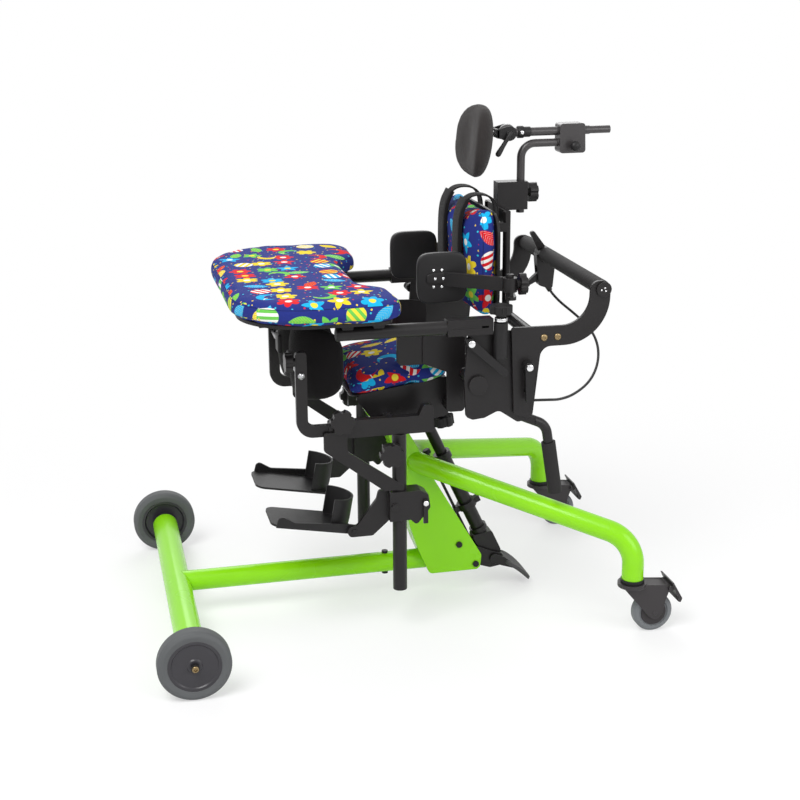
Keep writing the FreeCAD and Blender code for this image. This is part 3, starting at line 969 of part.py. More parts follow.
# Upper back: plates with the push bar arms, push bar, uprights, shell, cushion and harness
def upper_back():
    plates = []
    for name, side in SIDES:
        x = side_x("BackPlateX", "BackPlateThick", side)
        shape = plate("BackPlate_" + name, "yz", [
            ("BackTubeY - 41", "BackTubeZ - 136", 8), ("BackTubeY - 7", "BackTubeZ - 143", 8),
            ("BackTubeY + 7", "BackTubeZ - ArmDrop", 20), ("PushBarY + ArmWidth - 24", "BackTubeZ - ArmDrop", "ArmBend"),
            ("PushBarY + ArmWidth - 24", "PushBarZ + 15", 16), ("PushBarY - 24", "PushBarZ + 15", 16),
            ("PushBarY - 24", "BackTubeZ - ArmDrop + ArmWidth - 2", "ArmBend - ArmWidth + 4"),
            ("BackTubeY - 48", "BackTubeZ + 23", 6), ("BackTubeY - 46", "BackTubeZ - 20", 8)], "BackPlateThick", x, 0, 0)
        width = "2 * StudRadius + 1"
        slot_top = cylinder("SlotTop_" + name, "StudRadius + 0.5", 40, "x", side_x("BackPlateX - 10", 40, side),
                            "StudY", "StudZ + 0.5")
        slot_low = cylinder("SlotLow_" + name, "StudRadius + 0.5", 40, "x", side_x("BackPlateX - 10", 40, side),
                            "StudY", "StudZ - SlotTravel - 1")
        slot = box("SlotRun_" + name, 40, width, "SlotTravel + 1.5", side_x("BackPlateX - 10", 40, side),
                   "StudY - StudRadius - 0.5", "StudZ - SlotTravel - 1")
        bolts = []
        for number, y in enumerate(("BackTubeY + 12", "BackTubeY + 37")):
            bolts.append(cylinder("ArmHole%d_%s" % (number, name), 4.25, 40, "x", side_x("BackPlateX - 10", 40, side), y,
                                  "BackTubeZ + 2"))
        bar_hole = cylinder("BarSeat_" + name, "PushBarRadius", 40, "x", side_x("BackPlateX - 10", 40, side), "PushBarY",
                            "PushBarZ")
        flat_plate = cut("BackPlateCut_" + name, shape, [slot_top, slot_low, slot, bar_hole] + bolts)
        plates.append(flat_plate)
    node("back_plates", group("BackPlates", plates))

    length = "2 * (BackPlateX + BackPlateThick)"
    bar = tube("PushBarTube", "PushBarRadius", "TubeWall", length, "x", "-(BackPlateX + BackPlateThick)", "PushBarY",
               "PushBarZ")
    caps = []
    for name, side in SIDES:
        cap = cylinder("PushCap_" + name, "PushBarRadius + 2.5", 4, "x",
                       side_x("BackPlateX + BackPlateThick", 4, side), "PushBarY", "PushBarZ")
        caps.append(cap)
    clamp = cylinder("ReleaseClamp", "PushSleeveRadius", "ReleaseBodyWidth", "x", "ReleaseX - ReleaseBodyWidth / 2",
                     "PushBarY", "PushBarZ")
    housing = plate("ReleaseHousing", "yz", [
        ("PushBarY - 18", "PushBarZ"), ("PushBarY - 12", "PushBarZ - 62", 6), ("PushBarY + 16", "PushBarZ - 72", 6),
        ("PushBarY + 20", "PushBarZ - 30", 8), ("PushBarY + 14", "PushBarZ")], "ReleaseBodyWidth - 10",
        "ReleaseX - (ReleaseBodyWidth - 10) / 2", 0, 0)
    fin = plate("ReleaseFin", "yz", [
        ("PushBarY - 10", "PushBarZ"), ("PushBarY - 30", "PushBarZ + 43", 4), ("PushBarY - 22", "PushBarZ + 46", 4),
        ("PushBarY + 8", "PushBarZ + 6")], 8, "ReleaseX - 4", 0, 0)
    slope = math.radians(size("GlandTilt"))
    gland = cylinder("CableGland", 5, "GlandLength", "z", "ReleaseX", "PushBarY + 7 + GlandLength * %.6f" % math.sin(slope),
                     "PushBarZ - 64 - GlandLength * %.6f" % math.cos(slope))
    gland.Placement.Rotation = Rotation(Vector(1, 0, 0), size("GlandTilt"))
    slit = box("ReleaseSlit", 10.6, 60, 34, "ReleaseX - 5.3", "PushBarY - 40", "PushBarZ - 58")
    hinge = cylinder("ReleaseHinge", 3, "ReleaseBodyWidth - 10", "x", "ReleaseX - (ReleaseBodyWidth - 10) / 2",
                     "PushBarY - 2", "PushBarZ - 40")
    clear = cylinder("PushBarClear", "PushBarRadius - TubeWall", length, "x", "-(BackPlateX + BackPlateThick)",
                     "PushBarY", "PushBarZ")
    fitting = cut("ReleaseFitting", fuse("ReleaseSet", [clamp, housing, fin, gland]), [slit, clear])
    node("push_bar", fuse("PushBar", [bar, fitting, hinge] + caps))

    sleeves = []
    spans = (("-(BackPlateX - 3)", "BackPlateX - 3 + ReleaseX - ReleaseBodyWidth / 2 - SeatGap"),
             ("ReleaseX + ReleaseBodyWidth / 2 + SeatGap", "BackPlateX - 3 - ReleaseX - ReleaseBodyWidth / 2 - SeatGap"))
    for number, (start, span) in enumerate(spans):
        outer = cylinder("PushSleeve%d_outer" % number, "PushSleeveRadius", span, "x", start, "PushBarY", "PushBarZ")
        inner = cylinder("PushSleeve%d_inner" % number, "PushBarRadius + RunningGap", span, "x", start, "PushBarY",
                         "PushBarZ")
        sleeves.append(cut("PushSleeve%d" % number, outer, [inner]))
    node("push_bar_sleeve", group("PushBarSleeve", sleeves))

    lever = plate("ReleaseBlade", "yz", [
        ("PushBarY + 6", "PushBarZ - 44", 5), ("PushBarY + 4", "PushBarZ - 34", 5), ("PushBarY - 8", "PushBarZ - 33", 5),
        ("PushBarY - 34", "PushBarZ - 55", 6), ("PushBarY - 34", "PushBarZ - 64", 4)], 10, "ReleaseX - 5", 0, 0)
    knob = ball("ReleaseBall", 7, "ReleaseX", "PushBarY - 34", "PushBarZ - 60")
    bore = cylinder("ReleaseBore", "3 + RunningGap", 30, "x", "ReleaseX - 15", "PushBarY - 2", "PushBarZ - 40")
    node("release_lever", cut("ReleaseLever", fuse("ReleaseLeverSet", [lever, knob]), [bore]))

    cross = tube("BackTube", "BackTubeRadius", "TubeWall", "2 * BackPlateX", "x", "-BackPlateX", "BackTubeY", "BackTubeZ")
    pieces = []
    for name, side in SIDES:
        x = "UprightX * %d" % side
        upright = cylinder("Upright_" + name, "UprightRadius", "UprightTopZ - BackTubeZ", "z", x, "UprightY", "BackTubeZ")
        pieces.append(upright)
        arm_z = "SwingArmZ - KnobRadius - 5"
        reach = "SwingPostX + SwingPostRadius + 3"
        corners = [("UprightX", "UprightY - 4"), (reach, "SwingPostY - SwingPostRadius - 3", 8),
                   (reach, "SwingPostY + SwingPostRadius + 3", 8), ("UprightX", "UprightY + 5")]
        if side < 0:
            corners = [("-(" + corner[0] + ")",) + corner[1:] for corner in reversed(corners)]
        pieces.append(plate("SwingBracket_" + name, "xy", corners, 6, 0, 0, arm_z))
        pieces.append(cylinder("SwingPost_" + name, "SwingPostRadius", "KnobRadius + SwingArmHeight / 2 + 11", "z",
                               "SwingPostX * %d" % side, "SwingPostY", arm_z))
        for number, z in enumerate(("ShellBottomZ + 30", "ShellTopZ - 40")):
            pieces.append(box("Standoff%d_%s" % (number, name), 14, "UprightY - ShellY - ShellThick", 16, x + " - 7",
                              "ShellY + ShellThick", z))
    pieces.append(box("TopRail", "2 * UprightX + 2 * UprightRadius", 8, 26, "-UprightX - UprightRadius", "UprightY - 4",
                      "UprightTopZ - 24"))
    pieces.append(box("Socket", 28, "GooseY - UprightY + 14", 52, -14, "UprightY - 4", "UprightTopZ - 6"))
    knob = star_knob("SocketKnob", size("KnobRadius") - 4, size("KnobHeight"), "y", 0, size("GooseY") + 15.5,
                     size("UprightTopZ") + 24)
    goose_bore = cylinder("GooseBore", "GooseRadius + SlideGap", 90, "z", 0, "GooseY", "UprightTopZ - 20")
    tube_clear = cylinder("BackTubeClear", "BackTubeRadius - TubeWall", "2 * BackPlateX", "x", "-BackPlateX", "BackTubeY",
                          "BackTubeZ")
    posts = cut("BackPostsCut", fuse("BackPostSet", pieces), [goose_bore, tube_clear])
    node("back_posts", fuse("BackPosts", [cross, posts, knob]))

    shell = plate("BackShell", "xz", [
        ("-ShellHalf", "ShellBottomZ", 30), ("ShellHalf", "ShellBottomZ", 30), ("ShellHalf", "ShellTopZ", 40),
        ("-ShellHalf", "ShellTopZ", 40)], "ShellThick", 0, "ShellY", 0)
    node("back_shell", shell)

    half = size("BackCushionHalf")
    low = size("BackCushionBottomZ")
    span = size("BackCushionTopZ") - low
    thick = size("BackCushionThick")
    stations = ((0, 0.88, 0.4, 0.45), (0.06, 0.95, 0.62, 0.8), (0.3, 1.0, 0.75, 0.98), (0.7, 1.0, 0.75, 0.98),
                (0.94, 0.93, 0.62, 0.8), (1.0, 0.86, 0.4, 0.45))
    shape = crowned([(low + span * along, half * wide - 8, 0, thick * side, thick * crown)
                     for along, wide, side, crown in stations])
    cushion = made("BackCushion", shape)
    cushion.Placement = Placement(Vector(0, size("ShellY") - size("SeatGap"), 0), Rotation(Vector(1, 0, 0), 90))
    node("back_cushion", cushion)

    straps = []
    front = size("ShellY") - thick - 2
    crest = size("BackCushionTopZ") + 9
    rear = size("ShellY") + size("ShellThick") + 6
    for name, side in SIDES:
        x = side * 52
        path = rounded_path([Vector(x, front, low + 26), Vector(x, front, crest), Vector(x, rear, crest),
                             Vector(x, rear, size("ShellTopZ") - 24)], [20, 20])
        strip = Part.Wire(Part.makePolygon([
            Vector(x - 20, front - 2, low + 26), Vector(x + 20, front - 2, low + 26), Vector(x + 20, front + 2, low + 26),
            Vector(x - 20, front + 2, low + 26), Vector(x - 20, front - 2, low + 26)]))
        straps.append(made("Strap_" + name, path.makePipeShell([strip], True, False)))
    node("harness", group("Harness", straps))

    away = Vector(0, math.sin(slope), -math.cos(slope))
    start = Vector(size("ReleaseX"), size("PushBarY") + 7, size("PushBarZ") - 64)
    route = [start + away * (size("GlandLength") + size("SeatGap")), Vector(-103, 361, 550.5), Vector(-62, 390, 525),
             Vector(-12, 403, 508), Vector(32, 403, 486), Vector(78, 386, 462), Vector(122, 354, 442),
             Vector(160, 310, 432), Vector(196, 270, 436), Vector(223, 238, 446), Vector(224, 211.7, 447.5)]
    print("cable start", route[0])
    radii = []
    for index in range(1, len(route) - 1):
        before = route[index - 1] - route[index]
        after = route[index + 1] - route[index]
        turn = math.pi - before.getAngle(after)
        radii.append(0.45 * min(before.Length, after.Length) / math.tan(turn / 2))
    print("cable bend radii", [round(radius, 1) for radius in radii])
    path = rounded_path(route, radii)
    cable = swept(path, 2.5)
    print("cable volume", round(cable.Volume), "section times length", round(math.pi * 2.5 ** 2 * path.Length))
    node("release_cable", made("ReleaseCable", cable))


def laterals():
    dx = size("LateralPadX") - size("SwingPostX")
    dy = size("LateralPadY") - size("SwingPostY")
    reach = math.hypot(dx, dy)
    for name, side in SIDES:
        height = size("SwingArmHeight")
        z = size("SwingArmZ")
        post = Vector(side * size("SwingPostX"), size("SwingPostY"), 0)
        hub = Part.makeCylinder(13, height, Vector(0, 0, z - height / 2))
        bar = Part.makeBox(reach, 6, height, Vector(0, -3, z - height / 2))
        arm = hub.fuse(bar).cut(Part.makeCylinder(size("SwingPostRadius") + size("RunningGap"), 2 * height,
                                                  Vector(0, 0, z - height)))
        turn = math.degrees(math.atan2(dy, dx * side))
        arm.rotate(Vector(), Vector(0, 0, 1), turn)
        arm.translate(post)
        edge = size("LateralPadSize") / 2
        thick = size("LateralPadThick")
        pad = Part.makeBox(thick, 2 * edge, 2 * edge, Vector(-thick / 2, -edge, z - edge + 1))
        upright = [item for item in pad.Edges if abs(item.tangentAt(0).x) > 0.9]
        pad = pad.makeFillet(16, upright)
        for row_z in (-24, 0, 24):
            for column in (-16, 16):
                pad = pad.cut(Part.makeCylinder(3, 40, Vector(-20, column, z + row_z + 1), Vector(1, 0, 0)))
        pad.translate(Vector(side * (size("LateralPadX") - thick / 2), size("LateralPadY"), 0))
        inner = Part.makeBox(200, 300, 200, Vector(side * size("LateralPadX") - (200 if side > 0 else 0), -50, z - 100))
        knob = star_knob("LateralKnob_" + name, size("KnobRadius") - 3, size("KnobHeight") - 3, "y",
                         side * size("SwingPostX"), size("SwingPostY") + 17, z)
        body = made("LateralBody_" + name, arm.cut(inner).fuse(pad))
        node("lateral_" + name, fuse("Lateral_" + name, [body, knob]))


def headrest():
    y = size("GooseY")
    top = size("GooseTopZ")
    path = [Vector(0, y, size("UprightTopZ") - 13), Vector(0, y, top), Vector(0, y + 75, top)]
    neck = made("GooseTube", bent_tube(path, [size("GooseBend")], size("GooseRadius"), 0))
    block = plate("ClampBlock", "yz", [
        ("GooseY + 70", "HeadRodZ - 40", 6), ("GooseY + 120", "HeadRodZ - 40", 6), ("GooseY + 118", "HeadRodZ + 14", 5),
        ("GooseY + 70", "HeadRodZ + 14", 5)], 30, -15, 0, 0)
    bore = cylinder("RodBore", "HeadRodRadius + SlideGap", 120, "y", 0, "GooseY + 40", "HeadRodZ")
    wing = cylinder("ClampScrew", 4, 10, "x", 15, "GooseY + 95", "HeadRodZ - 26")
    node("headrest_post", cut("HeadrestPost", fuse("HeadrestPostSet", [neck, block, wing]), [bore]))

    rod = cylinder("HeadRodBar", "HeadRodRadius", "HeadRodRearY - HeadSpigotLength - HeadRodFrontY", "y", 0,
                   "HeadRodFrontY", "HeadRodZ")
    spigot = cylinder("HeadSpigot", "HeadSpigotRadius", "HeadSpigotLength + 5", "y", 0,
                      "HeadRodRearY - HeadSpigotLength - 5", "HeadRodZ")
    end = ball("HeadBall", "HeadBallRadius", 0, "HeadBallY", "HeadRodZ")
    hole = cylinder("HeadBallHole", "4 + RunningGap", 60, "x", -30, "HeadBallY", "HeadRodZ")
    node("headrest_rod", cut("HeadrestRod", fuse("HeadrestRodSet", [rod, spigot, end]), [hole]))

    half = size("HeadPadHalf")
    height = size("HeadPadHeight")
    thick = size("HeadPadThick")
    low = size("HeadPadZ") - height / 2
    stations = ((0, 0.42, 0.42, 0.55), (0.12, 0.72, 0.62, 0.85), (0.4, 0.95, 0.7, 1.0), (0.65, 0.97, 0.7, 1.0),
                (0.9, 0.75, 0.6, 0.85), (1.0, 0.45, 0.42, 0.55))
    shape = crowned([(low + height * along, half * wide, 0, thick * side, thick * crown)
                     for along, wide, side, crown in stations])
    shape.rotate(Vector(), Vector(1, 0, 0), 90)
    shape.translate(Vector(0, size("HeadPadY") + thick / 2, 0))
    pad = made("HeadPad", shape)
    pieces = [pad]
    for name, side in SIDES:
        pieces.append(plate("HeadCheek_" + name, "yz", [
            ("HeadPadY + HeadPadThick / 2 - 1", "HeadRodZ - 42", 4), ("HeadBallY + 2", "HeadRodZ - 12", 6),
            ("HeadBallY + 10", "HeadRodZ - 3", 4), ("HeadBallY + 10", "HeadRodZ + 11", 6),
            ("HeadPadY + HeadPadThick / 2 - 1", "HeadRodZ + 12", 4)], 3,
            side_x("HeadBallRadius + 0.6", 3, side), 0, 0))
    pieces.append(cylinder("HeadPin", 4, "2 * HeadBallRadius + 10", "x", "-HeadBallRadius - 5", "HeadBallY", "HeadRodZ"))
    node("headrest_pad", fuse("HeadrestPad", pieces))


axle_ends = front_axle()
mast_and_legs()
fasteners(axle_ends + castor_caps())
castors()
pivot_tube()
side_bars()
knee_supports()
foot_supports()
seat()
hip()
pump()
lower_back()
tray()
upper_back()
laterals()
headrest()
doc.recompute()

problems = [obj.Name for obj in doc.Objects if "Invalid" in obj.State or "Error" in obj.State]
if problems:
    raise RuntimeError("failed objects: " + ", ".join(problems))
for name, obj in PARTS:
    if obj.Shape.isNull() or not obj.Shape.isValid():
        raise RuntimeError("bad shape: " + name)

os.makedirs("parts", exist_ok=True)
for name, obj in PARTS:
    obj.Shape.exportStep(os.path.join("parts", name + ".step"))
print(len(PARTS), "nodes")
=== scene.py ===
import bmesh
import bpy
import math
import numpy as np
from mathutils import Matrix, Vector


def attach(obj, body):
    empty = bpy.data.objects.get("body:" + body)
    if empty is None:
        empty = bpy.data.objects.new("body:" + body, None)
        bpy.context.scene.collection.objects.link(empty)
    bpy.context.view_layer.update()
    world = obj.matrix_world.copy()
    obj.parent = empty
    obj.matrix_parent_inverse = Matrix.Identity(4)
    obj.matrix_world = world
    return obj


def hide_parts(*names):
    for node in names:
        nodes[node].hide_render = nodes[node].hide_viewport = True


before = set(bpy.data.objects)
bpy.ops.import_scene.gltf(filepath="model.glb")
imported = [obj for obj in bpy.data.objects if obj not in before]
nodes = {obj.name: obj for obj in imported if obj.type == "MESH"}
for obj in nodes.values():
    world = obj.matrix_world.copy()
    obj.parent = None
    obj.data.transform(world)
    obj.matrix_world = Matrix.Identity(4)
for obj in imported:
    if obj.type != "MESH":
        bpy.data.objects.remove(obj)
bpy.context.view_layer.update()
print("frame loaded:", len(nodes), "nodes")

# camera: where it stands, where it looks, its roll in degrees and its lens
camera = {"place": (2.59241, -0.57507, 1.20941), "forward": (-0.93211, 0.21357, -0.29249),
          "roll": -0.396, "lens": 65.84, "sensor": 36.0}


def placeCamera():
    data = bpy.data.cameras.new("camera")
    data.lens = camera["lens"]
    data.sensor_width = camera["sensor"]
    data.clip_end = 50
    eye = bpy.data.objects.new("camera", data)
    bpy.context.scene.collection.objects.link(eye)
    forward = Vector(camera["forward"]).normalized()
    right = forward.cross(Vector((0, 0, 1))).normalized()
    up = right.cross(forward)
    roll = math.radians(camera["roll"])
    across = right * math.cos(roll) + up * math.sin(roll)
    above = up * math.cos(roll) - right * math.sin(roll)
    turn = Matrix((across, above, -forward)).transposed()
    eye.matrix_world = Matrix.Translation(camera["place"]) @ turn.to_4x4()
    bpy.context.scene.camera = eye


# floor: its own white grows from near to far metres around the object
studio = {"floor": (0.9, 0.9, 0.905), "side": 12.0, "world": 0.5, "near": 0.5, "far": 1.6, "white": 0.5,
          "aim": (0, 0, 0.45)}
# lamps: place, power and size
lamps = {"keyLamp": ((1.6, -1.5, 3.0), 84, 1.8), "fillLamp": ((2.6, 2.2, 1.8), 46, 2.2),
         "rimLamp": ((-2.6, 0.4, 2.4), 36, 2.2)}


def makeStudio():
    scene = bpy.context.scene
    scene.view_settings.view_transform = "Standard"
    world = bpy.data.worlds.new("studio")
    scene.world = world
    world.use_nodes = True
    tree = world.node_tree
    tree.nodes.clear()
    ambient = makeNode(tree, "Background", {}, {"Color": (1, 1, 1, 1), "Strength": studio["world"]})
    seen = makeNode(tree, "Background", {}, {"Color": (1, 1, 1, 1), "Strength": 1.0})
    ray = makeNode(tree, "LightPath")
    shown = maths(tree, "MAXIMUM", (ray, "Is Camera Ray"), (ray, "Is Glossy Ray"))
    mixed = makeNode(tree, "MixShader", {}, {0: shown, 1: (ambient, 0), 2: (seen, 0)})
    makeNode(tree, "OutputWorld", {}, {"Surface": (mixed, 0)})

    side = studio["side"]
    mesh = bpy.data.meshes.new("floor")
    corners = [(-side, -side, 0), (side, -side, 0), (side, side, 0), (-side, side, 0)]
    mesh.from_pydata(corners, [], [(0, 1, 2, 3)])
    floor = bpy.data.objects.new("floor", mesh)
    scene.collection.objects.link(floor)
    surface = bpy.data.materials.new("paleFloor")
    surface.use_nodes = True
    tree = surface.node_tree
    tree.nodes.clear()
    matt = makeNode(tree, "BsdfDiffuse", {}, {"Color": studio["floor"] + (1,)})
    glow = makeNode(tree, "Emission", {}, {"Color": (1, 1, 1, 1), "Strength": 1.0})
    ray = makeNode(tree, "LightPath")
    place = makeNode(tree, "TexCoord")
    reach = lengthOf(tree, (place, "Object"))
    spread = makeNode(tree, "MapRange", {"interpolation_type": "SMOOTHSTEP"},
                      {0: reach, 1: studio["near"], 2: studio["far"], 3: studio["white"], 4: 1.0})
    share = maths(tree, "MULTIPLY", (ray, "Is Camera Ray"), (spread, 0))
    mixed = makeNode(tree, "MixShader", {}, {0: share, 1: (matt, 0), 2: (glow, 0)})
    makeNode(tree, "OutputMaterial", {}, {"Surface": (mixed, 0)})
    mesh.materials.append(surface)

    for name, (place, power, size) in lamps.items():
        data = bpy.data.lights.new(name, "AREA")
        data.energy = power
        data.size = size
        light = bpy.data.objects.new(name, data)
        light.location = place
        light.rotation_euler = (Vector(studio["aim"]) - Vector(place)).to_track_quat("-Z", "Y").to_euler()
        scene.collection.objects.link(light)


# a socket takes a plain value, or a pair of a node and the name or number of its output
def feed(tree, socket, value):
    if isinstance(value, tuple) and isinstance(value[0], bpy.types.Node):
        tree.links.new(value[0].outputs[value[1]], socket)
    else:
        socket.default_value = value


# shader nodes: one call makes a node, sets it and wires its inputs
def makeNode(tree, kind, settings=None, inputs=None):
    node = tree.nodes.new("ShaderNode" + kind)
    for name, value in (settings or {}).items():
        setattr(node, name, value)
    for name, value in (inputs or {}).items():
        feed(tree, node.inputs[name], value)
    return node


def maths(tree, operation, first, second=0.0, third=0.0, clamp=False):
    return (makeNode(tree, "Math", {"operation": operation, "use_clamp": clamp},
                     {0: first, 1: second, 2: third}), 0)


def vectors(tree, operation, first, second):
    return makeNode(tree, "VectorMath", {"operation": operation}, {0: first, 1: second}), 0


def lengthOf(tree, vector):
    return makeNode(tree, "VectorMath", {"operation": "LENGTH"}, {0: vector}), "Value"


def blendColour(tree, share, low, high, kind="MIX"):
    node = tree.nodes.new("ShaderNodeMix")
    node.data_type = "RGBA"
    node.blend_type = kind
    for index, value in ((0, share), (6, low), (7, high)):
        feed(tree, node.inputs[index], value)
    return node, 2


def newGroup(name, inputs, outputs):
    tree = bpy.data.node_groups.new(name, "ShaderNodeTree")
    for label, kind, value in inputs:
        socket = tree.interface.new_socket(label, in_out="INPUT", socket_type=kind)
        if value is not None:
            socket.default_value = value
    for label, kind in outputs:
        tree.interface.new_socket(label, in_out="OUTPUT", socket_type=kind)
    return tree, tree.nodes.new("NodeGroupInput"), tree.nodes.new("NodeGroupOutput")


number, tint, arrow = "NodeSocketFloat", "NodeSocketColor", "NodeSocketVector"  # kinds of group socket


# fine pebble of moulded plastic or the orange peel of powder coat, with large soft mottling and settled dust
def buildGrainGroup():
    tree, given, out = newGroup("surfaceGrain",
                                [("Grain Size", number, 1200.0), ("Mottle Size", number, 14.0)],
                                [("Height", number), ("Mottle", number), ("Dust", number)])
    place = (makeNode(tree, "TexCoord"), "Object")
    grain = makeNode(tree, "TexNoise", {}, {"Vector": place, "Scale": (given, 0), "Detail": 2.0,
                                                     "Roughness": 0.55})
    mottle = makeNode(tree, "TexNoise", {}, {"Vector": place, "Scale": (given, 1), "Detail": 4.0,
                                                      "Roughness": 0.6})
    normal = makeNode(tree, "SeparateXYZ", {}, {0: (makeNode(tree, "TexCoord"), "Normal")})
    upward = maths(tree, "MULTIPLY_ADD", (normal, 2), 0.5, 0.5, clamp=True)
    patchy = maths(tree, "MULTIPLY", upward, (mottle, 0))
    for place, value in enumerate(((grain, 0), (mottle, 0), patchy)):
        feed(tree, out.inputs[place], value)
    return tree


# hard edges read as slightly rounded, and wear grows with the angle between the rounded and the real normal
def buildEdgeGroup():
    tree, given, out = newGroup("softEdge", [("Radius", number, 0.0008)],
                                [("Normal", arrow), ("Wear", number)])
    rounded = makeNode(tree, "Bevel", {"samples": 4}, {"Radius": (given, 0)})
    real = makeNode(tree, "NewGeometry")
    along, _ = vectors(tree, "DOT_PRODUCT", (rounded, 0), (real, "Normal"))
    away = maths(tree, "SUBTRACT", 1.0, (along, "Value"), clamp=True)
    worn = maths(tree, "MULTIPLY", away, 2.2, clamp=True)
    feed(tree, out.inputs[0], (rounded, 0))
    feed(tree, out.inputs[1], worn)
    return tree


# plain weave on a flat place in metres: height is the size of a sine across the warp or across the weft, and
# which of the two lies on top changes with the sign of two slower sines multiplied
def buildWeaveGroup():
    tree, given, out = newGroup("plainWeave", [("Place", arrow, None), ("Threads", number, 1500.0)],
                                [("Height", number), ("Shade", number)])
    split = makeNode(tree, "SeparateXYZ", {}, {0: (given, 0)})
    waves = []
    for axis in (0, 1):
        phase = maths(tree, "MULTIPLY", (split, axis), (given, 1))
        waves.append((maths(tree, "SINE", phase), maths(tree, "SINE", maths(tree, "MULTIPLY", phase, 0.5))))
    over = maths(tree, "GREATER_THAN", maths(tree, "MULTIPLY", waves[0][1], waves[1][1]), 0.0)
    warp = maths(tree, "ABSOLUTE", waves[0][0])
    weft = maths(tree, "ABSOLUTE", waves[1][0])
    chosen = makeNode(tree, "Mix", {"data_type": "FLOAT"}, {0: over, 2: weft, 3: warp})
    loose = makeNode(tree, "TexNoise", {}, {"Vector": (given, 0), "Scale": 260.0, "Detail": 3.0})
    feed(tree, out.inputs[0], (chosen, 0))
    feed(tree, out.inputs[1], (loose, 0))
    return tree


# the print's inks: a ground, and the tones that the dice give from each share upwards
inks = {
    "ground": (0.013, 0.025, 0.2, 1),
    "motif": ((0.0, (0.69, 0.008, 0.014)), (0.3, (0.84, 0.64, 0.02)), (0.52, (0.15, 0.56, 0.08)),
              (0.74, (0.004, 0.42, 0.78))),
    "detail": ((0.0, (0.9, 0.9, 0.86)), (0.6, (0.86, 0.7, 0.05))),
    "speck": ((0.0, (0.86, 0.62, 0.04)), (0.4, (0.03, 0.5, 0.66)), (0.75, (0.7, 0.03, 0.03))),
}
# shares of the cells that each motif takes, and the slope with which a motif's edge turns from cloth to ink
motifs = {"star": (-0.1, 0.24), "blossom": (0.24, 0.46), "leaf": (0.46, 0.7), "ball": (0.7, 0.87),
          "moon": (0.87, 1.1), "edge": 60.0}


def flatSteps(tree, dice, tones):
    node = makeNode(tree, "ValToRGB", {}, {0: dice})
    ramp = node.color_ramp
    ramp.interpolation = "CONSTANT"
    while len(ramp.elements) < len(tones):
        ramp.elements.new(0.5)
    for element, (spot, tone) in zip(ramp.elements, tones):
        element.position = spot
        element.color = tone + (1,)
    return node, 0


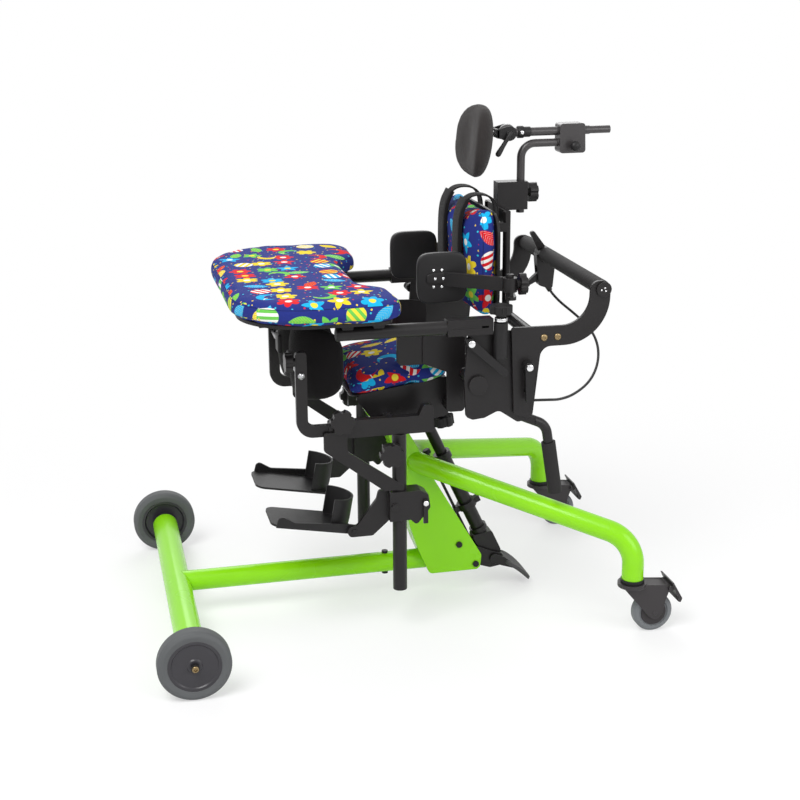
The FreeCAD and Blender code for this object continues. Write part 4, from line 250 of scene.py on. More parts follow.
# the print: stars, blossoms, leaves, striped balls and moons scattered in cells, with confetti between them;
# each is full where its rim, a formula of the angle or of the place along it, lies further out than the reach
def buildPrintGroup():
    tree, given, out = newGroup("brightMotifs", [("Place", arrow, None), ("Cell", number, 0.034)],
                                [("Colour", tint), ("Ink", number)])
    scale = maths(tree, "DIVIDE", 1.0, (given, 1))
    cells = makeNode(tree, "TexVoronoi", {"voronoi_dimensions": "2D"},
                     {"Vector": (given, 0), "Scale": scale, "Randomness": 0.62})
    offset = vectors(tree, "SUBTRACT", (given, 0), (cells, "Position"))
    unit = makeNode(tree, "VectorMath", {"operation": "SCALE"}, {0: offset, "Scale": scale})
    dice = makeNode(tree, "SeparateColor", {}, {0: (cells, "Color")})
    spin = maths(tree, "MULTIPLY", (dice, 0), 6.283)
    turned = makeNode(tree, "VectorRotate", {"rotation_type": "Z_AXIS"}, {"Vector": (unit, 0), "Angle": spin})
    local = makeNode(tree, "SeparateXYZ", {}, {0: (turned, 0)})
    across, along = (local, 0), (local, 1)
    reach = lengthOf(tree, (turned, 0))
    angle = maths(tree, "ARCTAN2", along, across)

    def inside(edge, measure):
        gap = maths(tree, "SUBTRACT", edge, measure)
        return maths(tree, "MULTIPLY_ADD", gap, motifs["edge"], 0.5, clamp=True)

    # star: the rim swings with an angle folded five times in a turn, blossom: with the size of its cosine
    share = maths(tree, "FRACT", maths(tree, "MULTIPLY", angle, 0.7958))
    fold = maths(tree, "ABSOLUTE", maths(tree, "SUBTRACT", share, 0.5))
    star = inside(maths(tree, "MULTIPLY_ADD", fold, 0.52, 0.2), reach)
    petals = maths(tree, "ABSOLUTE", maths(tree, "COSINE", maths(tree, "MULTIPLY", angle, 3.0)))
    blossom = inside(maths(tree, "MULTIPLY_ADD", petals, 0.17, 0.27), reach)
    core = inside(0.13, reach)
    # leaf: its half width falls with the square of the place along it, and slanting veins cross it
    bow = maths(tree, "MULTIPLY_ADD", maths(tree, "MULTIPLY", along, along), -0.95, 0.22)
    leaf = inside(bow, maths(tree, "ABSOLUTE", across))
    rib = inside(0.018, maths(tree, "ABSOLUTE", across))
    veins = inside(0.12, maths(tree, "ABSOLUTE", maths(tree, "SINE", maths(
        tree, "MULTIPLY", maths(tree, "SUBTRACT", along, maths(tree, "ABSOLUTE", across)), 30.0))))
    # ball: a disc with stripes from a sine, moon: a disc less a shifted one
    ball = inside(0.37, reach)
    bands = inside(0.0, maths(tree, "SINE", maths(tree, "MULTIPLY", along, 26.0)))
    bite = inside(0.31, lengthOf(tree, vectors(tree, "ADD", (turned, 0), (0.17, 0.05, 0))))
    moon = maths(tree, "MULTIPLY", inside(0.42, reach), maths(tree, "SUBTRACT", 1.0, bite))

    def pick(low, high):
        above = maths(tree, "GREATER_THAN", (dice, 1), low)
        below = maths(tree, "LESS_THAN", (dice, 1), high)
        return maths(tree, "MULTIPLY", above, below)

    ink, accent = 0.0, 0.0
    for motif, shape, detail in (("star", star, core), ("blossom", blossom, core), ("leaf", leaf, veins),
                                 ("ball", ball, bands), ("moon", moon, rib)):
        chosen = maths(tree, "MULTIPLY", shape, pick(*motifs[motif]))
        ink = maths(tree, "ADD", chosen, ink, clamp=True)
        accent = maths(tree, "ADD", maths(tree, "MULTIPLY", chosen, detail), accent, clamp=True)

    palette = flatSteps(tree, (dice, 2), inks["motif"])
    trim = flatSteps(tree, (dice, 0), inks["detail"])
    dots = makeNode(tree, "TexVoronoi", {"voronoi_dimensions": "2D"},
                    {"Vector": (given, 0), "Scale": maths(tree, "MULTIPLY", scale, 3.3), "Randomness": 0.9})
    luck = makeNode(tree, "SeparateColor", {}, {0: (dots, "Color")})
    some = maths(tree, "GREATER_THAN", (luck, 0), 0.45)
    speck = maths(tree, "MULTIPLY", inside(0.12, (dots, "Distance")), some)
    speckTone = flatSteps(tree, (luck, 1), inks["speck"])
    field = blendColour(tree, speck, inks["ground"], speckTone)
    field = blendColour(tree, ink, field, palette)
    field = blendColour(tree, accent, field, trim)
    feed(tree, out.inputs[0], field)
    feed(tree, out.inputs[1], ink)
    return tree


# seam: a dark crease that is full where the place along one axis equals a level and fades over the seam's
# width; the cloth is dented along it and darkened there as painted shade
def buildSeamGroup():
    tree, given, out = newGroup("sewnSeam", [("Place", number, 0.0), ("Level", number, 0.0),
                                             ("Width", number, 0.0009)], [("Crease", number)])
    away = maths(tree, "ABSOLUTE", maths(tree, "SUBTRACT", (given, 0), (given, 1)))
    near = maths(tree, "SUBTRACT", 1.0, maths(tree, "DIVIDE", away, (given, 2)), clamp=True)
    feed(tree, out.inputs[0], near)
    return tree


groups = {}


def useGroup(tree, name, inputs=None):
    node = tree.nodes.new("ShaderNodeGroup")
    node.node_tree = groups[name]
    for label, value in (inputs or {}).items():
        feed(tree, node.inputs[label], value)
    return node


def freshMaterial(name):
    material = bpy.data.materials.new(name)
    material.use_nodes = True
    tree = material.node_tree
    tree.nodes.clear()
    skin = makeNode(tree, "BsdfPrincipled")
    makeNode(tree, "OutputMaterial", {}, {"Surface": (skin, 0)})
    return material, tree, skin


# hard finishes: colour, the tone it mottles to, roughness, gloss, metal, coat, grain size and depth, edge
# radius and wear tone; a core is a darker middle out to some radius from an axle that lies along x
hardFinishes = {
    "greenPaint": {"colour": (0.27, 0.69, 0.002), "shade": (0.215, 0.61, 0.001), "rough": 0.26,
                   "gloss": 0.26, "coat": 0.2, "grain": 900, "depth": 0.00003, "edge": 0.0016,
                   "wear": (0.3, 0.72, 0.06), "wearShare": 0.25, "mottle": 3.5},
    "blackPaint": {"colour": (0.0072, 0.0062, 0.0066), "shade": (0.012, 0.0105, 0.011), "rough": 0.34,
                   "gloss": 0.3, "grain": 1500, "depth": 0.00006, "edge": 0.0009,
                   "wear": (0.07, 0.064, 0.065), "wearShare": 0.55},
    "blackPlastic": {"colour": (0.006, 0.0056, 0.006), "shade": (0.011, 0.0102, 0.011), "rough": 0.44,
                     "gloss": 0.28, "grain": 1900, "depth": 0.00009, "edge": 0.0012,
                     "wear": (0.05, 0.047, 0.05), "wearShare": 0.45},
    "hubPlastic": {"colour": (0.022, 0.0205, 0.025), "shade": (0.03, 0.028, 0.034), "rough": 0.3,
                   "gloss": 0.4, "coat": 0.1, "grain": 1500, "depth": 0.00005, "edge": 0.001,
                   "wear": (0.12, 0.115, 0.125), "wearShare": 0.4},
    "forkPlastic": {"colour": (0.026, 0.0225, 0.0245), "shade": (0.034, 0.03, 0.032), "rough": 0.42,
                    "gloss": 0.35, "grain": 1700, "depth": 0.00007, "edge": 0.0014,
                    "wear": (0.13, 0.12, 0.125), "wearShare": 0.45},
    "tyreGrey": {"colour": (0.082, 0.088, 0.092), "shade": (0.105, 0.108, 0.11), "rough": 0.62, "gloss": 0.3,
                 "grain": 700, "depth": 0.00012, "edge": 0.002, "wear": (0.17, 0.165, 0.155),
                 "wearShare": 0.25},
    "castorGrey": {"colour": (0.135, 0.145, 0.155), "shade": (0.165, 0.172, 0.18), "rough": 0.5,
                   "gloss": 0.3, "grain": 900, "depth": 0.00006, "edge": 0.0015, "wear": (0.24, 0.24, 0.25),
                   "wearShare": 0.2, "core": (0.433, 0.0375, 0.0245), "coreTone": (0.03, 0.026, 0.028)},
    "foamGrip": {"colour": (0.0085, 0.0075, 0.0078), "shade": (0.016, 0.0145, 0.015), "rough": 0.72,
                 "gloss": 0.3, "grain": 420, "depth": 0.0003, "edge": 0.002, "wear": (0.04, 0.037, 0.038),
                 "wearShare": 0.3},
    "barSteel": {"colour": (0.03, 0.027, 0.028), "shade": (0.038, 0.034, 0.035), "rough": 0.3, "gloss": 0.45,
                 "coat": 0.15, "grain": 1500, "depth": 0.00004, "edge": 0.0008, "wear": (0.2, 0.19, 0.19),
                 "wearShare": 0.5},
    "pedalGrey": {"colour": (0.05, 0.048, 0.05), "shade": (0.066, 0.064, 0.066), "rough": 0.55, "gloss": 0.3,
                  "grain": 1300, "depth": 0.00012, "edge": 0.0012, "wear": (0.2, 0.2, 0.2),
                  "wearShare": 0.4},
    "zincSteel": {"colour": (0.5, 0.5, 0.51), "shade": (0.38, 0.38, 0.4), "rough": 0.28, "gloss": 0.5,
                  "metal": 1.0, "grain": 1400, "depth": 0.00003, "edge": 0.0006, "wear": (0.7, 0.7, 0.7),
                  "wearShare": 0.4},
    "brightSteel": {"colour": (0.8, 0.8, 0.81), "shade": (0.72, 0.72, 0.73), "rough": 0.14, "gloss": 0.5,
                    "metal": 1.0, "grain": 700, "depth": 0.00001, "edge": 0.0005, "wear": (0.9, 0.9, 0.9),
                    "wearShare": 0.2},
    "brassZinc": {"colour": (0.34, 0.25, 0.12), "shade": (0.22, 0.16, 0.09), "rough": 0.34, "gloss": 0.5,
                  "metal": 1.0, "grain": 1100, "depth": 0.00003, "edge": 0.0006, "wear": (0.6, 0.5, 0.3),
                  "wearShare": 0.4},
}


# settled dust: how much of it shows and its tone, and how far the roughness swings with the mottling
dust = {"share": 0.012, "tone": (0.5, 0.5, 0.48, 1), "swing": 0.14}


def hardMaterial(name):
    values = hardFinishes[name]
    material, tree, skin = freshMaterial(name)
    grain = useGroup(tree, "surfaceGrain", {"Grain Size": float(values["grain"]),
                                            "Mottle Size": float(values.get("mottle", 11.0))})
    edge = useGroup(tree, "softEdge", {"Radius": values["edge"]})
    tone = blendColour(tree, (grain, "Mottle"), values["colour"] + (1,), values["shade"] + (1,))
    if "core" in values:
        along, height, radius = values["core"]
        spot = makeNode(tree, "TexCoord")
        away = vectors(tree, "SUBTRACT", (spot, "Object"), (0, along, height))
        reach = lengthOf(tree, vectors(tree, "MULTIPLY", away, (0, 1, 1)))
        inner = maths(tree, "MULTIPLY_ADD", maths(tree, "SUBTRACT", radius, reach), 3000.0, 0.5, clamp=True)
        tone = blendColour(tree, inner, tone, values["coreTone"] + (1,))
    worn = maths(tree, "MULTIPLY", (edge, "Wear"), values["wearShare"])
    tone = blendColour(tree, worn, tone, values["wear"] + (1,))
    dusty = maths(tree, "MULTIPLY", (grain, "Dust"), dust["share"])
    tone = blendColour(tree, dusty, tone, dust["tone"])
    rough = maths(tree, "MULTIPLY_ADD", (grain, "Mottle"), dust["swing"], values["rough"] - dust["swing"] / 2,
                  clamp=True)
    bump = makeNode(tree, "Bump", {}, {"Strength": 1.0, "Distance": values["depth"],
                                                "Height": (grain, "Height"), "Normal": (edge, "Normal")})
    feed(tree, skin.inputs["Base Color"], tone)
    feed(tree, skin.inputs["Roughness"], rough)
    feed(tree, skin.inputs["Normal"], (bump, 0))
    skin.inputs["Metallic"].default_value = values.get("metal", 0.0)
    skin.inputs["Specular IOR Level"].default_value = values["gloss"]
    skin.inputs["Coat Weight"].default_value = values.get("coat", 0.0)
    skin.inputs["Coat Roughness"].default_value = 0.08
    return material


# flat place on a cloth: the two object axes that the surface faces least, so the print lies along it
def clothPlace(tree):
    place = makeNode(tree, "TexCoord")
    spot = makeNode(tree, "SeparateXYZ", {}, {0: (place, "Object")})
    facing = makeNode(tree, "SeparateXYZ", {}, {0: (place, "Normal")})
    sizes = [maths(tree, "ABSOLUTE", (facing, axis)) for axis in range(3)]
    flatUp = maths(tree, "GREATER_THAN", sizes[2], 0.62)
    sideways = maths(tree, "GREATER_THAN", sizes[0], sizes[1])
    up = makeNode(tree, "CombineXYZ", {}, {0: (spot, 0), 1: (spot, 1)})
    side = makeNode(tree, "CombineXYZ", {}, {0: maths(tree, "ADD", (spot, 1), 0.37), 1: (spot, 2)})
    front = makeNode(tree, "CombineXYZ", {}, {0: maths(tree, "ADD", (spot, 0), 0.11), 1: (spot, 2)})
    standing = makeNode(tree, "Mix", {"data_type": "VECTOR"}, {0: sideways, 4: (front, 0), 5: (side, 0)})
    chosen = makeNode(tree, "Mix", {"data_type": "VECTOR"}, {0: flatUp, 4: (standing, 1), 5: (up, 0)})
    return chosen, 1


# cloths: roughness, sheen, threads per metre times two pi, thread depth, and colours or the print's cell
softFinishes = {
    "seatFabric": {"rough": 0.8, "sheen": 0.02, "threads": 2600.0, "depth": 0.0001, "cell": 0.047},
    "trayFabric": {"rough": 0.8, "sheen": 0.02, "threads": 2600.0, "depth": 0.0001, "cell": 0.047,
                   "seam": (2, 0.6455)},
    "backFabric": {"rough": 0.8, "sheen": 0.02, "threads": 2600.0, "depth": 0.0001, "cell": 0.047,
                   "seam": (1, 0.146)},
    "darkFabric": {"rough": 0.8, "sheen": 0.1, "threads": 2200.0, "depth": 0.00014,
                   "colour": (0.02, 0.0175, 0.017), "shade": (0.036, 0.031, 0.03)},
    "blackFabric": {"rough": 0.9, "sheen": 0.1, "threads": 1900.0, "depth": 0.0002,
                    "colour": (0.0052, 0.0045, 0.005), "shade": (0.011, 0.0096, 0.0105)},
    "webbing": {"rough": 0.85, "sheen": 0.08, "threads": 1300.0, "depth": 0.0003,
                "colour": (0.006, 0.0054, 0.0056), "shade": (0.016, 0.0145, 0.015)},
}


def softMaterial(name):
    values = softFinishes[name]
    material, tree, skin = freshMaterial(name)
    place = clothPlace(tree)
    weave = useGroup(tree, "plainWeave", {"Place": place, "Threads": values["threads"]})
    height = (weave, "Height")
    if "cell" in values:
        cloth = useGroup(tree, "brightMotifs", {"Place": place, "Cell": values["cell"]})
        faded = maths(tree, "MULTIPLY", (weave, "Shade"), 0.03)
        tone = blendColour(tree, faded, (cloth, "Colour"), (0.3, 0.32, 0.42, 1))
        # painted shade: the print is darkened where the weave is low, in the hollows between the threads
        thread = maths(tree, "MULTIPLY_ADD", (weave, "Height"), 0.12, 0.88)
        paintedHollowShade = makeNode(tree, "CombineColor", {}, {0: thread, 1: thread, 2: thread})
        tone = blendColour(tree, 1.0, tone, (paintedHollowShade, 0), "MULTIPLY")
        if "seam" in values:
            axis, level = values["seam"]
            spot = makeNode(tree, "SeparateXYZ", {}, {0: (makeNode(tree, "TexCoord"), "Object")})
            seam = useGroup(tree, "sewnSeam", {"Place": (spot, axis), "Level": level})
            # painted shade: the cloth darkens towards deep navy along the seam's crease
            tone = blendColour(tree, maths(tree, "MULTIPLY", (seam, 0), 0.8), tone, (0.006, 0.008, 0.04, 1))
            height = maths(tree, "MULTIPLY_ADD", (seam, 0), -6.0, (weave, "Height"))
    else:
        # lighter where a thread lies high, patchy with noise: partly random tone, partly a painted highlight
        # on the raised threads
        share = maths(tree, "MULTIPLY", (weave, "Shade"), (weave, "Height"))
        tone = blendColour(tree, share, values["colour"] + (1,), values["shade"] + (1,))
    bump = makeNode(tree, "Bump", {}, {"Strength": 1.0, "Distance": values["depth"], "Height": height})
    rough = maths(tree, "MULTIPLY_ADD", (weave, "Shade"), 0.1, values["rough"] - 0.05, clamp=True)
    feed(tree, skin.inputs["Base Color"], tone)
    feed(tree, skin.inputs["Roughness"], rough)
    feed(tree, skin.inputs["Normal"], (bump, 0))
    skin.inputs["Specular IOR Level"].default_value = 0.14
    skin.inputs["Sheen Weight"].default_value = values["sheen"]
    skin.inputs["Sheen Roughness"].default_value = 0.5
    return material


# mesh from arrays of points and faces
def meshPiece(name, points, faces, material, smooth=True):
    mesh = bpy.data.meshes.new(name)
    mesh.from_pydata([tuple(point) for point in np.asarray(points).reshape(-1, 3).tolist()], [], faces)
    mesh.validate()
    mesh.update()
    piece = bpy.data.objects.new(name, mesh)
    bpy.context.scene.collection.objects.link(piece)
    mesh.materials.append(materials[material])
    if smooth:
        mesh.polygons.foreach_set("use_smooth", np.ones(len(mesh.polygons), dtype=bool))
    return piece


# faces of a grid whose rows lie open side by side and whose columns close to a ring
def gridFaces(rows, columns):
    row = np.arange(rows - 1)[:, None] * columns
    here = np.arange(columns)[None, :]
    after = (here + 1) % columns
    quads = np.stack([row + here, row + after, row + columns + after, row + columns + here], axis=-1)
    return quads.reshape(-1, 4).tolist()


def tidyNormals(piece):
    work = bmesh.new()
    work.from_mesh(piece.data)
    bmesh.ops.remove_doubles(work, verts=work.verts, dist=0.00002)
    bmesh.ops.recalc_face_normals(work, faces=work.faces)
    work.to_mesh(piece.data)
    work.free()


# unit pillow: a ball whose sections are squarish, |a|^p + |b|^p + |c|^q = 1, read on a grid of two angles
def unitPillow(rows, columns, squareness, plumpness):
    lift = np.linspace(-np.pi / 2, np.pi / 2, rows)[:, None]
    turn = np.linspace(0, 2 * np.pi, columns, endpoint=False)[None, :]

    def power(values, exponent):
        return np.sign(values) * np.abs(values) ** exponent

    ring = power(np.cos(lift), plumpness)
    a = ring * power(np.cos(turn), squareness)
    b = ring * power(np.sin(turn), squareness)
    c = power(np.sin(lift), plumpness) * np.ones_like(turn)
    return a, b, c


def pillowPiece(name, spot, material, rows=28, columns=72, squareness=0.45, plumpness=0.5):
    a, b, c = unitPillow(rows, columns, squareness, plumpness)
    points = np.stack(spot(a, b, c), axis=-1)
    piece = meshPiece(name, points, gridFaces(rows, columns), material)
    tidyNormals(piece)
    return piece


# how the covers' cloth gives
coverCloth = {"quality": 5, "mass": 0.3, "tension_stiffness": 12, "compression_stiffness": 12,
              "shear_stiffness": 5, "bending_stiffness": 0.4}


# remesh a pad, let air pressure fill it under its cover, keep it within a cap of its first shape and ease it
def inflate(piece, voxel, pressure, cap, frames=20):
    scene = bpy.context.scene
    scene.view_layers[0].objects.active = piece
    remesh = piece.modifiers.new("remesh", "REMESH")
    remesh.mode = "VOXEL"
    remesh.voxel_size = voxel
    applyModifiers(piece)
    count = len(piece.data.vertices)
    start = np.empty(count * 3)
    piece.data.vertices.foreach_get("co", start)
    start = start.reshape(-1, 3)
    cloth = piece.modifiers.new("cover", "CLOTH")
    for name, value in coverCloth.items():
        setattr(cloth.settings, name, value)
    cloth.settings.use_pressure = True
    cloth.settings.uniform_pressure_force = pressure
    cloth.settings.effector_weights.gravity = 0
    cloth.point_cache.frame_end = frames
    for step in range(1, frames + 1):
        scene.frame_set(step)
    graph = bpy.context.evaluated_depsgraph_get()
    shaped = piece.evaluated_get(graph)
    moved = np.empty(count * 3)
    shaped.data.vertices.foreach_get("co", moved)
    piece.modifiers.clear()
    moved = moved.reshape(-1, 3)
    shift = moved - start
    length = np.linalg.norm(shift, axis=1, keepdims=True) + 1e-9
    moved = start + shift * np.minimum(1.0, cap / length)
    piece.data.vertices.foreach_set("co", moved.reshape(-1))
    scene.frame_set(1)
    ease = piece.modifiers.new("ease", "SMOOTH")
    ease.iterations = 6
    ease.factor = 0.4
    applyModifiers(piece)
    piece.data.polygons.foreach_set("use_smooth", np.ones(len(piece.data.polygons), dtype=bool))
    fine = piece.modifiers.new("fine", "SUBSURF")
    fine.levels = 1
    fine.render_levels = 1
    piece.data.update()


def applyModifiers(piece):
    graph = bpy.context.evaluated_depsgraph_get()
    baked = bpy.data.meshes.new_from_object(piece.evaluated_get(graph))
    kept = [slot.material for slot in piece.material_slots]
    piece.modifiers.clear()
    old = piece.data
    piece.data = baked
    bpy.data.meshes.remove(old)
    if not baked.materials:
        for material in kept:
            baked.materials.append(material)


# copy of a CAD pad as a closed mesh to start a cover from
def coverFrom(nodeName, name, material, shrink=0.002):
    work = bmesh.new()
    work.from_mesh(nodes[nodeName].data)
    bmesh.ops.remove_doubles(work, verts=work.verts, dist=0.00005)
    bmesh.ops.recalc_face_normals(work, faces=work.faces)
    for vertex in work.verts:
        vertex.co -= vertex.normal * shrink
    mesh = bpy.data.meshes.new(name)
    work.to_mesh(mesh)
    work.free()
    piece = bpy.data.objects.new(name, mesh)
    bpy.context.scene.collection.objects.link(piece)
    mesh.materials.clear()
    mesh.materials.append(materials[material])
    return piece


# a round or flat section carried along an open path of points and closed at both ends
def carried(name, path, section, material, up=(0.0, 0.0, 1.0)):
    path = np.asarray(path, dtype=float)
    ahead = np.gradient(path, axis=0)
    ahead /= np.linalg.norm(ahead, axis=1, keepdims=True)
    across = np.cross(ahead, up)
    across /= np.linalg.norm(across, axis=1, keepdims=True) + 1e-9
    above = np.cross(across, ahead)
    points = (path[:, None, :] + across[:, None, :] * section[None, :, :1]
              + above[:, None, :] * section[None, :, 1:2])
    rows, columns = len(path), len(section)
    ends = [list(range(columns)), list(range((rows - 1) * columns, rows * columns))]
    faces = gridFaces(rows, columns) + ends
    piece = meshPiece(name, points, faces, material)
    tidyNormals(piece)
    return piece


def roundSection(radius, sides=10):
    turn = np.linspace(0, 2 * np.pi, sides, endpoint=False)
    return np.stack([radius * np.cos(turn), radius * np.sin(turn)], axis=1)


# a flat strap with rounded sides: a squared ellipse, read on an angle
def strapSection(width, thick):
    turn = np.linspace(0, 2 * np.pi, 28, endpoint=False)
    wide = np.sign(np.cos(turn)) * np.abs(np.cos(turn)) ** 0.35 * width / 2
    deep = np.sign(np.sin(turn)) * np.abs(np.sin(turn)) ** 0.6 * thick / 2
    return np.stack([wide, deep], axis=1)


# smooth path through a few points: each corner is eased by repeated corner cutting
def easedPath(points):
    path = np.asarray(points, dtype=float)
    for _ in range(4):
        early = path[:-1] * 0.75 + path[1:] * 0.25
        late = path[:-1] * 0.25 + path[1:] * 0.75
        middle = np.stack([early, late], axis=1).reshape(-1, 3)
        path = np.concatenate([path[:1], middle, path[-1:]])
    return path


# flat plate from an outline in the YZ plane, of a given thickness from one x, with eased edges
def platePiece(name, outline, startX, thick, material, ease=0.001):
    outline = np.asarray(outline, dtype=float)
    count = len(outline)
    near = np.column_stack([np.full(count, startX), outline])
    far = np.column_stack([np.full(count, startX + thick), outline])
    faces = [list(range(count)), list(range(count, 2 * count))]
    faces += [[i, (i + 1) % count, count + (i + 1) % count, count + i] for i in range(count)]
    piece = meshPiece(name, np.concatenate([near, far]), faces, material, smooth=False)
    tidyNormals(piece)
    bevel = piece.modifiers.new("ease", "BEVEL")
    bevel.width = ease
    bevel.segments = 2
    bevel.limit_method = "ANGLE"
    return piece


# turned piece: a profile of radius and height swept once round an axis, with a copy at each place
def turnedSet(name, places, axis, profile, material, sides=28):
    places = np.asarray(places, dtype=float).reshape(-1, 3)
    profile = np.asarray(profile, dtype=float)
    axis = np.asarray(axis, dtype=float) / np.linalg.norm(axis)
    first = np.cross(axis, (0.0, 0.0, 1.0) if abs(axis[2]) < 0.9 else (1.0, 0.0, 0.0))
    first /= np.linalg.norm(first)
    second = np.cross(axis, first)
    turn = np.linspace(0, 2 * np.pi, sides, endpoint=False)
    ring = np.cos(turn)[:, None] * first + np.sin(turn)[:, None] * second
    shape = profile[:, None, :1] * ring[None] + profile[:, None, 1:] * axis
    points = places[:, None, None, :] + shape[None]
    quads = np.array(gridFaces(len(profile), sides))
    faces = quads[None] + np.arange(len(places))[:, None, None] * len(profile) * sides
    piece = meshPiece(name, points, faces.reshape(-1, 4).tolist(), material)
    tidyNormals(piece)
    piece.data.set_sharp_from_angle(angle=math.radians(42))
    return piece


# button head: a low dome with a round socket sunk in it
def buttonHead(radius, height):
    return [(0, -0.0004), (radius, -0.0004), (radius, height * 0.25), (radius * 0.9, height * 0.62),
            (radius * 0.7, height * 0.9), (radius * 0.48, height), (radius * 0.42, height),
            (radius * 0.38, height * 0.45), (0, height * 0.4)]


# capped disc: a short wall and a shallow dome
def discHead(radius, height):
    return [(0, -0.0004), (radius, -0.0004), (radius, height * 0.6), (radius * 0.88, height * 0.9),
            (radius * 0.5, height), (0, height * 1.05)]


# what a piece rides on and which CAD node it stands for, which is hidden
def dress(piece, body, replaced=None):
    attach(piece, body)
    if replaced:
        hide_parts(replaced)


groups["surfaceGrain"] = buildGrainGroup()
groups["softEdge"] = buildEdgeGroup()
groups["plainWeave"] = buildWeaveGroup()
groups["brightMotifs"] = buildPrintGroup()
groups["sewnSeam"] = buildSeamGroup()
materials = {name: hardMaterial(name) for name in hardFinishes}
materials.update({name: softMaterial(name) for name in softFinishes})
placeCamera()
makeStudio()
print("materials and studio ready")

# which finish each carried-over node wears
nodeFinishes = {
    "greenPaint": ["front_cross_tube", "base_tube", "mast", "rear_legs"],
    "tyreGrey": ["front_tyre_left", "front_tyre_right"],
    "castorGrey": ["castor_wheel_left", "castor_wheel_right"],
    "hubPlastic": ["front_hub_left", "front_hub_right"],
    "forkPlastic": ["castor_fork_left", "castor_fork_right", "brake_pedal_left", "brake_pedal_right"],
    "foamGrip": ["push_bar_sleeve", "grip_sleeve"],
    "barSteel": ["headrest_rod", "headrest_post"],
    "pedalGrey": ["foot_pedal"],
    "zincSteel": ["pivot_tube"],
    "blackPlastic": ["frame_fasteners", "seat_depth_knob", "clamp_posts", "slot_lever_left",
                     "slot_lever_right", "tray_board", "back_shell", "release_lever", "footplate_left",
                     "footplate_right"],
    "blackPaint": ["side_bars", "leg_tubes", "seat_frame", "thigh_guides", "pump_bracket", "pump_cylinder",
                   "piston_rod", "side_plate_left", "side_plate_right", "grip_tube", "tray_rails",
                   "back_plates", "push_bar", "back_posts", "lateral_left", "lateral_right", "knee_arm_left",
                   "knee_arm_right", "foot_carrier_left", "foot_carrier_right", "level_links", "hip_yoke"],
}
for finish, names in nodeFinishes.items():
    for name in names:
        node = nodes[name]
        if not node.material_slots:
            node.data.materials.append(materials[finish])
        for place in node.material_slots:
            place.material = materials[finish]
print("nodes dressed")


def finishPad(piece, body, nodeName):
    dress(piece, body, nodeName)


# release cable: the route's corners in metres, the tube's diameter
cable = {"route": [(-0.105, 0.3498, 0.5671), (-0.103, 0.361, 0.5505), (-0.062, 0.390, 0.525),
                   (-0.012, 0.403, 0.508), (0.032, 0.403, 0.486), (0.078, 0.386, 0.462),
                   (0.122, 0.354, 0.442), (0.160, 0.310, 0.432), (0.196, 0.270, 0.436),
                   (0.223, 0.238, 0.446), (0.224, 0.2117, 0.4475)],
         "diameter": 0.005, "length": 0.475}


def makeCable():
    curve = bpy.data.curves.new("releaseCable", "CURVE")
    curve.dimensions = "3D"
    curve.bevel_depth = cable["diameter"] / 2
    curve.bevel_resolution = 4
    spline = curve.splines.new("NURBS")
    spline.points.add(len(cable["route"]) - 1)
    for point, place in zip(spline.points, cable["route"]):
        point.co = place + (1,)
    spline.order_u = 3
    spline.use_endpoint_u = True
    spline.resolution_u = 12
    curve.materials.append(materials["blackPlastic"])
    piece = bpy.data.objects.new("releaseCable", curve)
    bpy.context.scene.collection.objects.link(piece)
    dress(piece, "back_frame", "release_cable")


makeCable()

# seat cushion, back cushion, tray cover: covers grown from the CAD pads
covers = {
    "seatCover": {"node": "seat_cushion", "cloth": "seatFabric", "body": "seat", "voxel": 0.0055,
                  "pressure": 3.5, "cap": 0.009, "shrink": 0.004},
    "backCover": {"node": "back_cushion", "cloth": "backFabric", "body": "back_frame",
                  "voxel": 0.0055, "pressure": 3.5, "cap": 0.009, "shrink": 0.004},
    "trayCover": {"node": "tray_cover", "cloth": "trayFabric", "body": "tray", "voxel": 0.006,
                  "pressure": 2.2, "cap": 0.006, "shrink": 0.003},
}
for name, values in covers.items():
    piece = coverFrom(values["node"], name, values["cloth"], values["shrink"])
    inflate(piece, values["voxel"], values["pressure"], values["cap"])
    finishPad(piece, values["body"], values["node"])
    print(name, "done")

# headrest: a dished oval pad; its wings and its rims come forward with the squares of a and b, and it leans
# with b
headrest = {"middle": (0.0, 0.172, 0.880), "half": (0.077, 0.065), "thick": 0.036, "dish": 0.02, "rim": 0.006,
            "lean": 0.007}


def headPadSpot(a, b, c):
    middle, half = headrest["middle"], headrest["half"]
    forward = headrest["dish"] * a ** 2 + headrest["rim"] * b ** 2 - headrest["lean"] * b
    return middle[0] + a * half[0], middle[1] + c * headrest["thick"] / 2 - forward, middle[2] + b * half[1]


headPad = pillowPiece("headPad", headPadSpot, "darkFabric", rows=48, columns=120, squareness=0.8,
                      plumpness=0.7)
inflate(headPad, 0.004, 1.5, 0.003, frames=10)
finishPad(headPad, "head_pad", "headrest_pad")


# ball joint behind the pad: a bright stem, a yoke of two round cheeks round the rod's ball, its pin and a
# lever
headJoint = {"y": 0.223, "z": 0.893, "cheek": 0.0135, "inner": 0.0162, "thick": 0.0032, "stemStart": 0.184,
             "yoke": (0.1985, 0.2045), "half": 0.008}


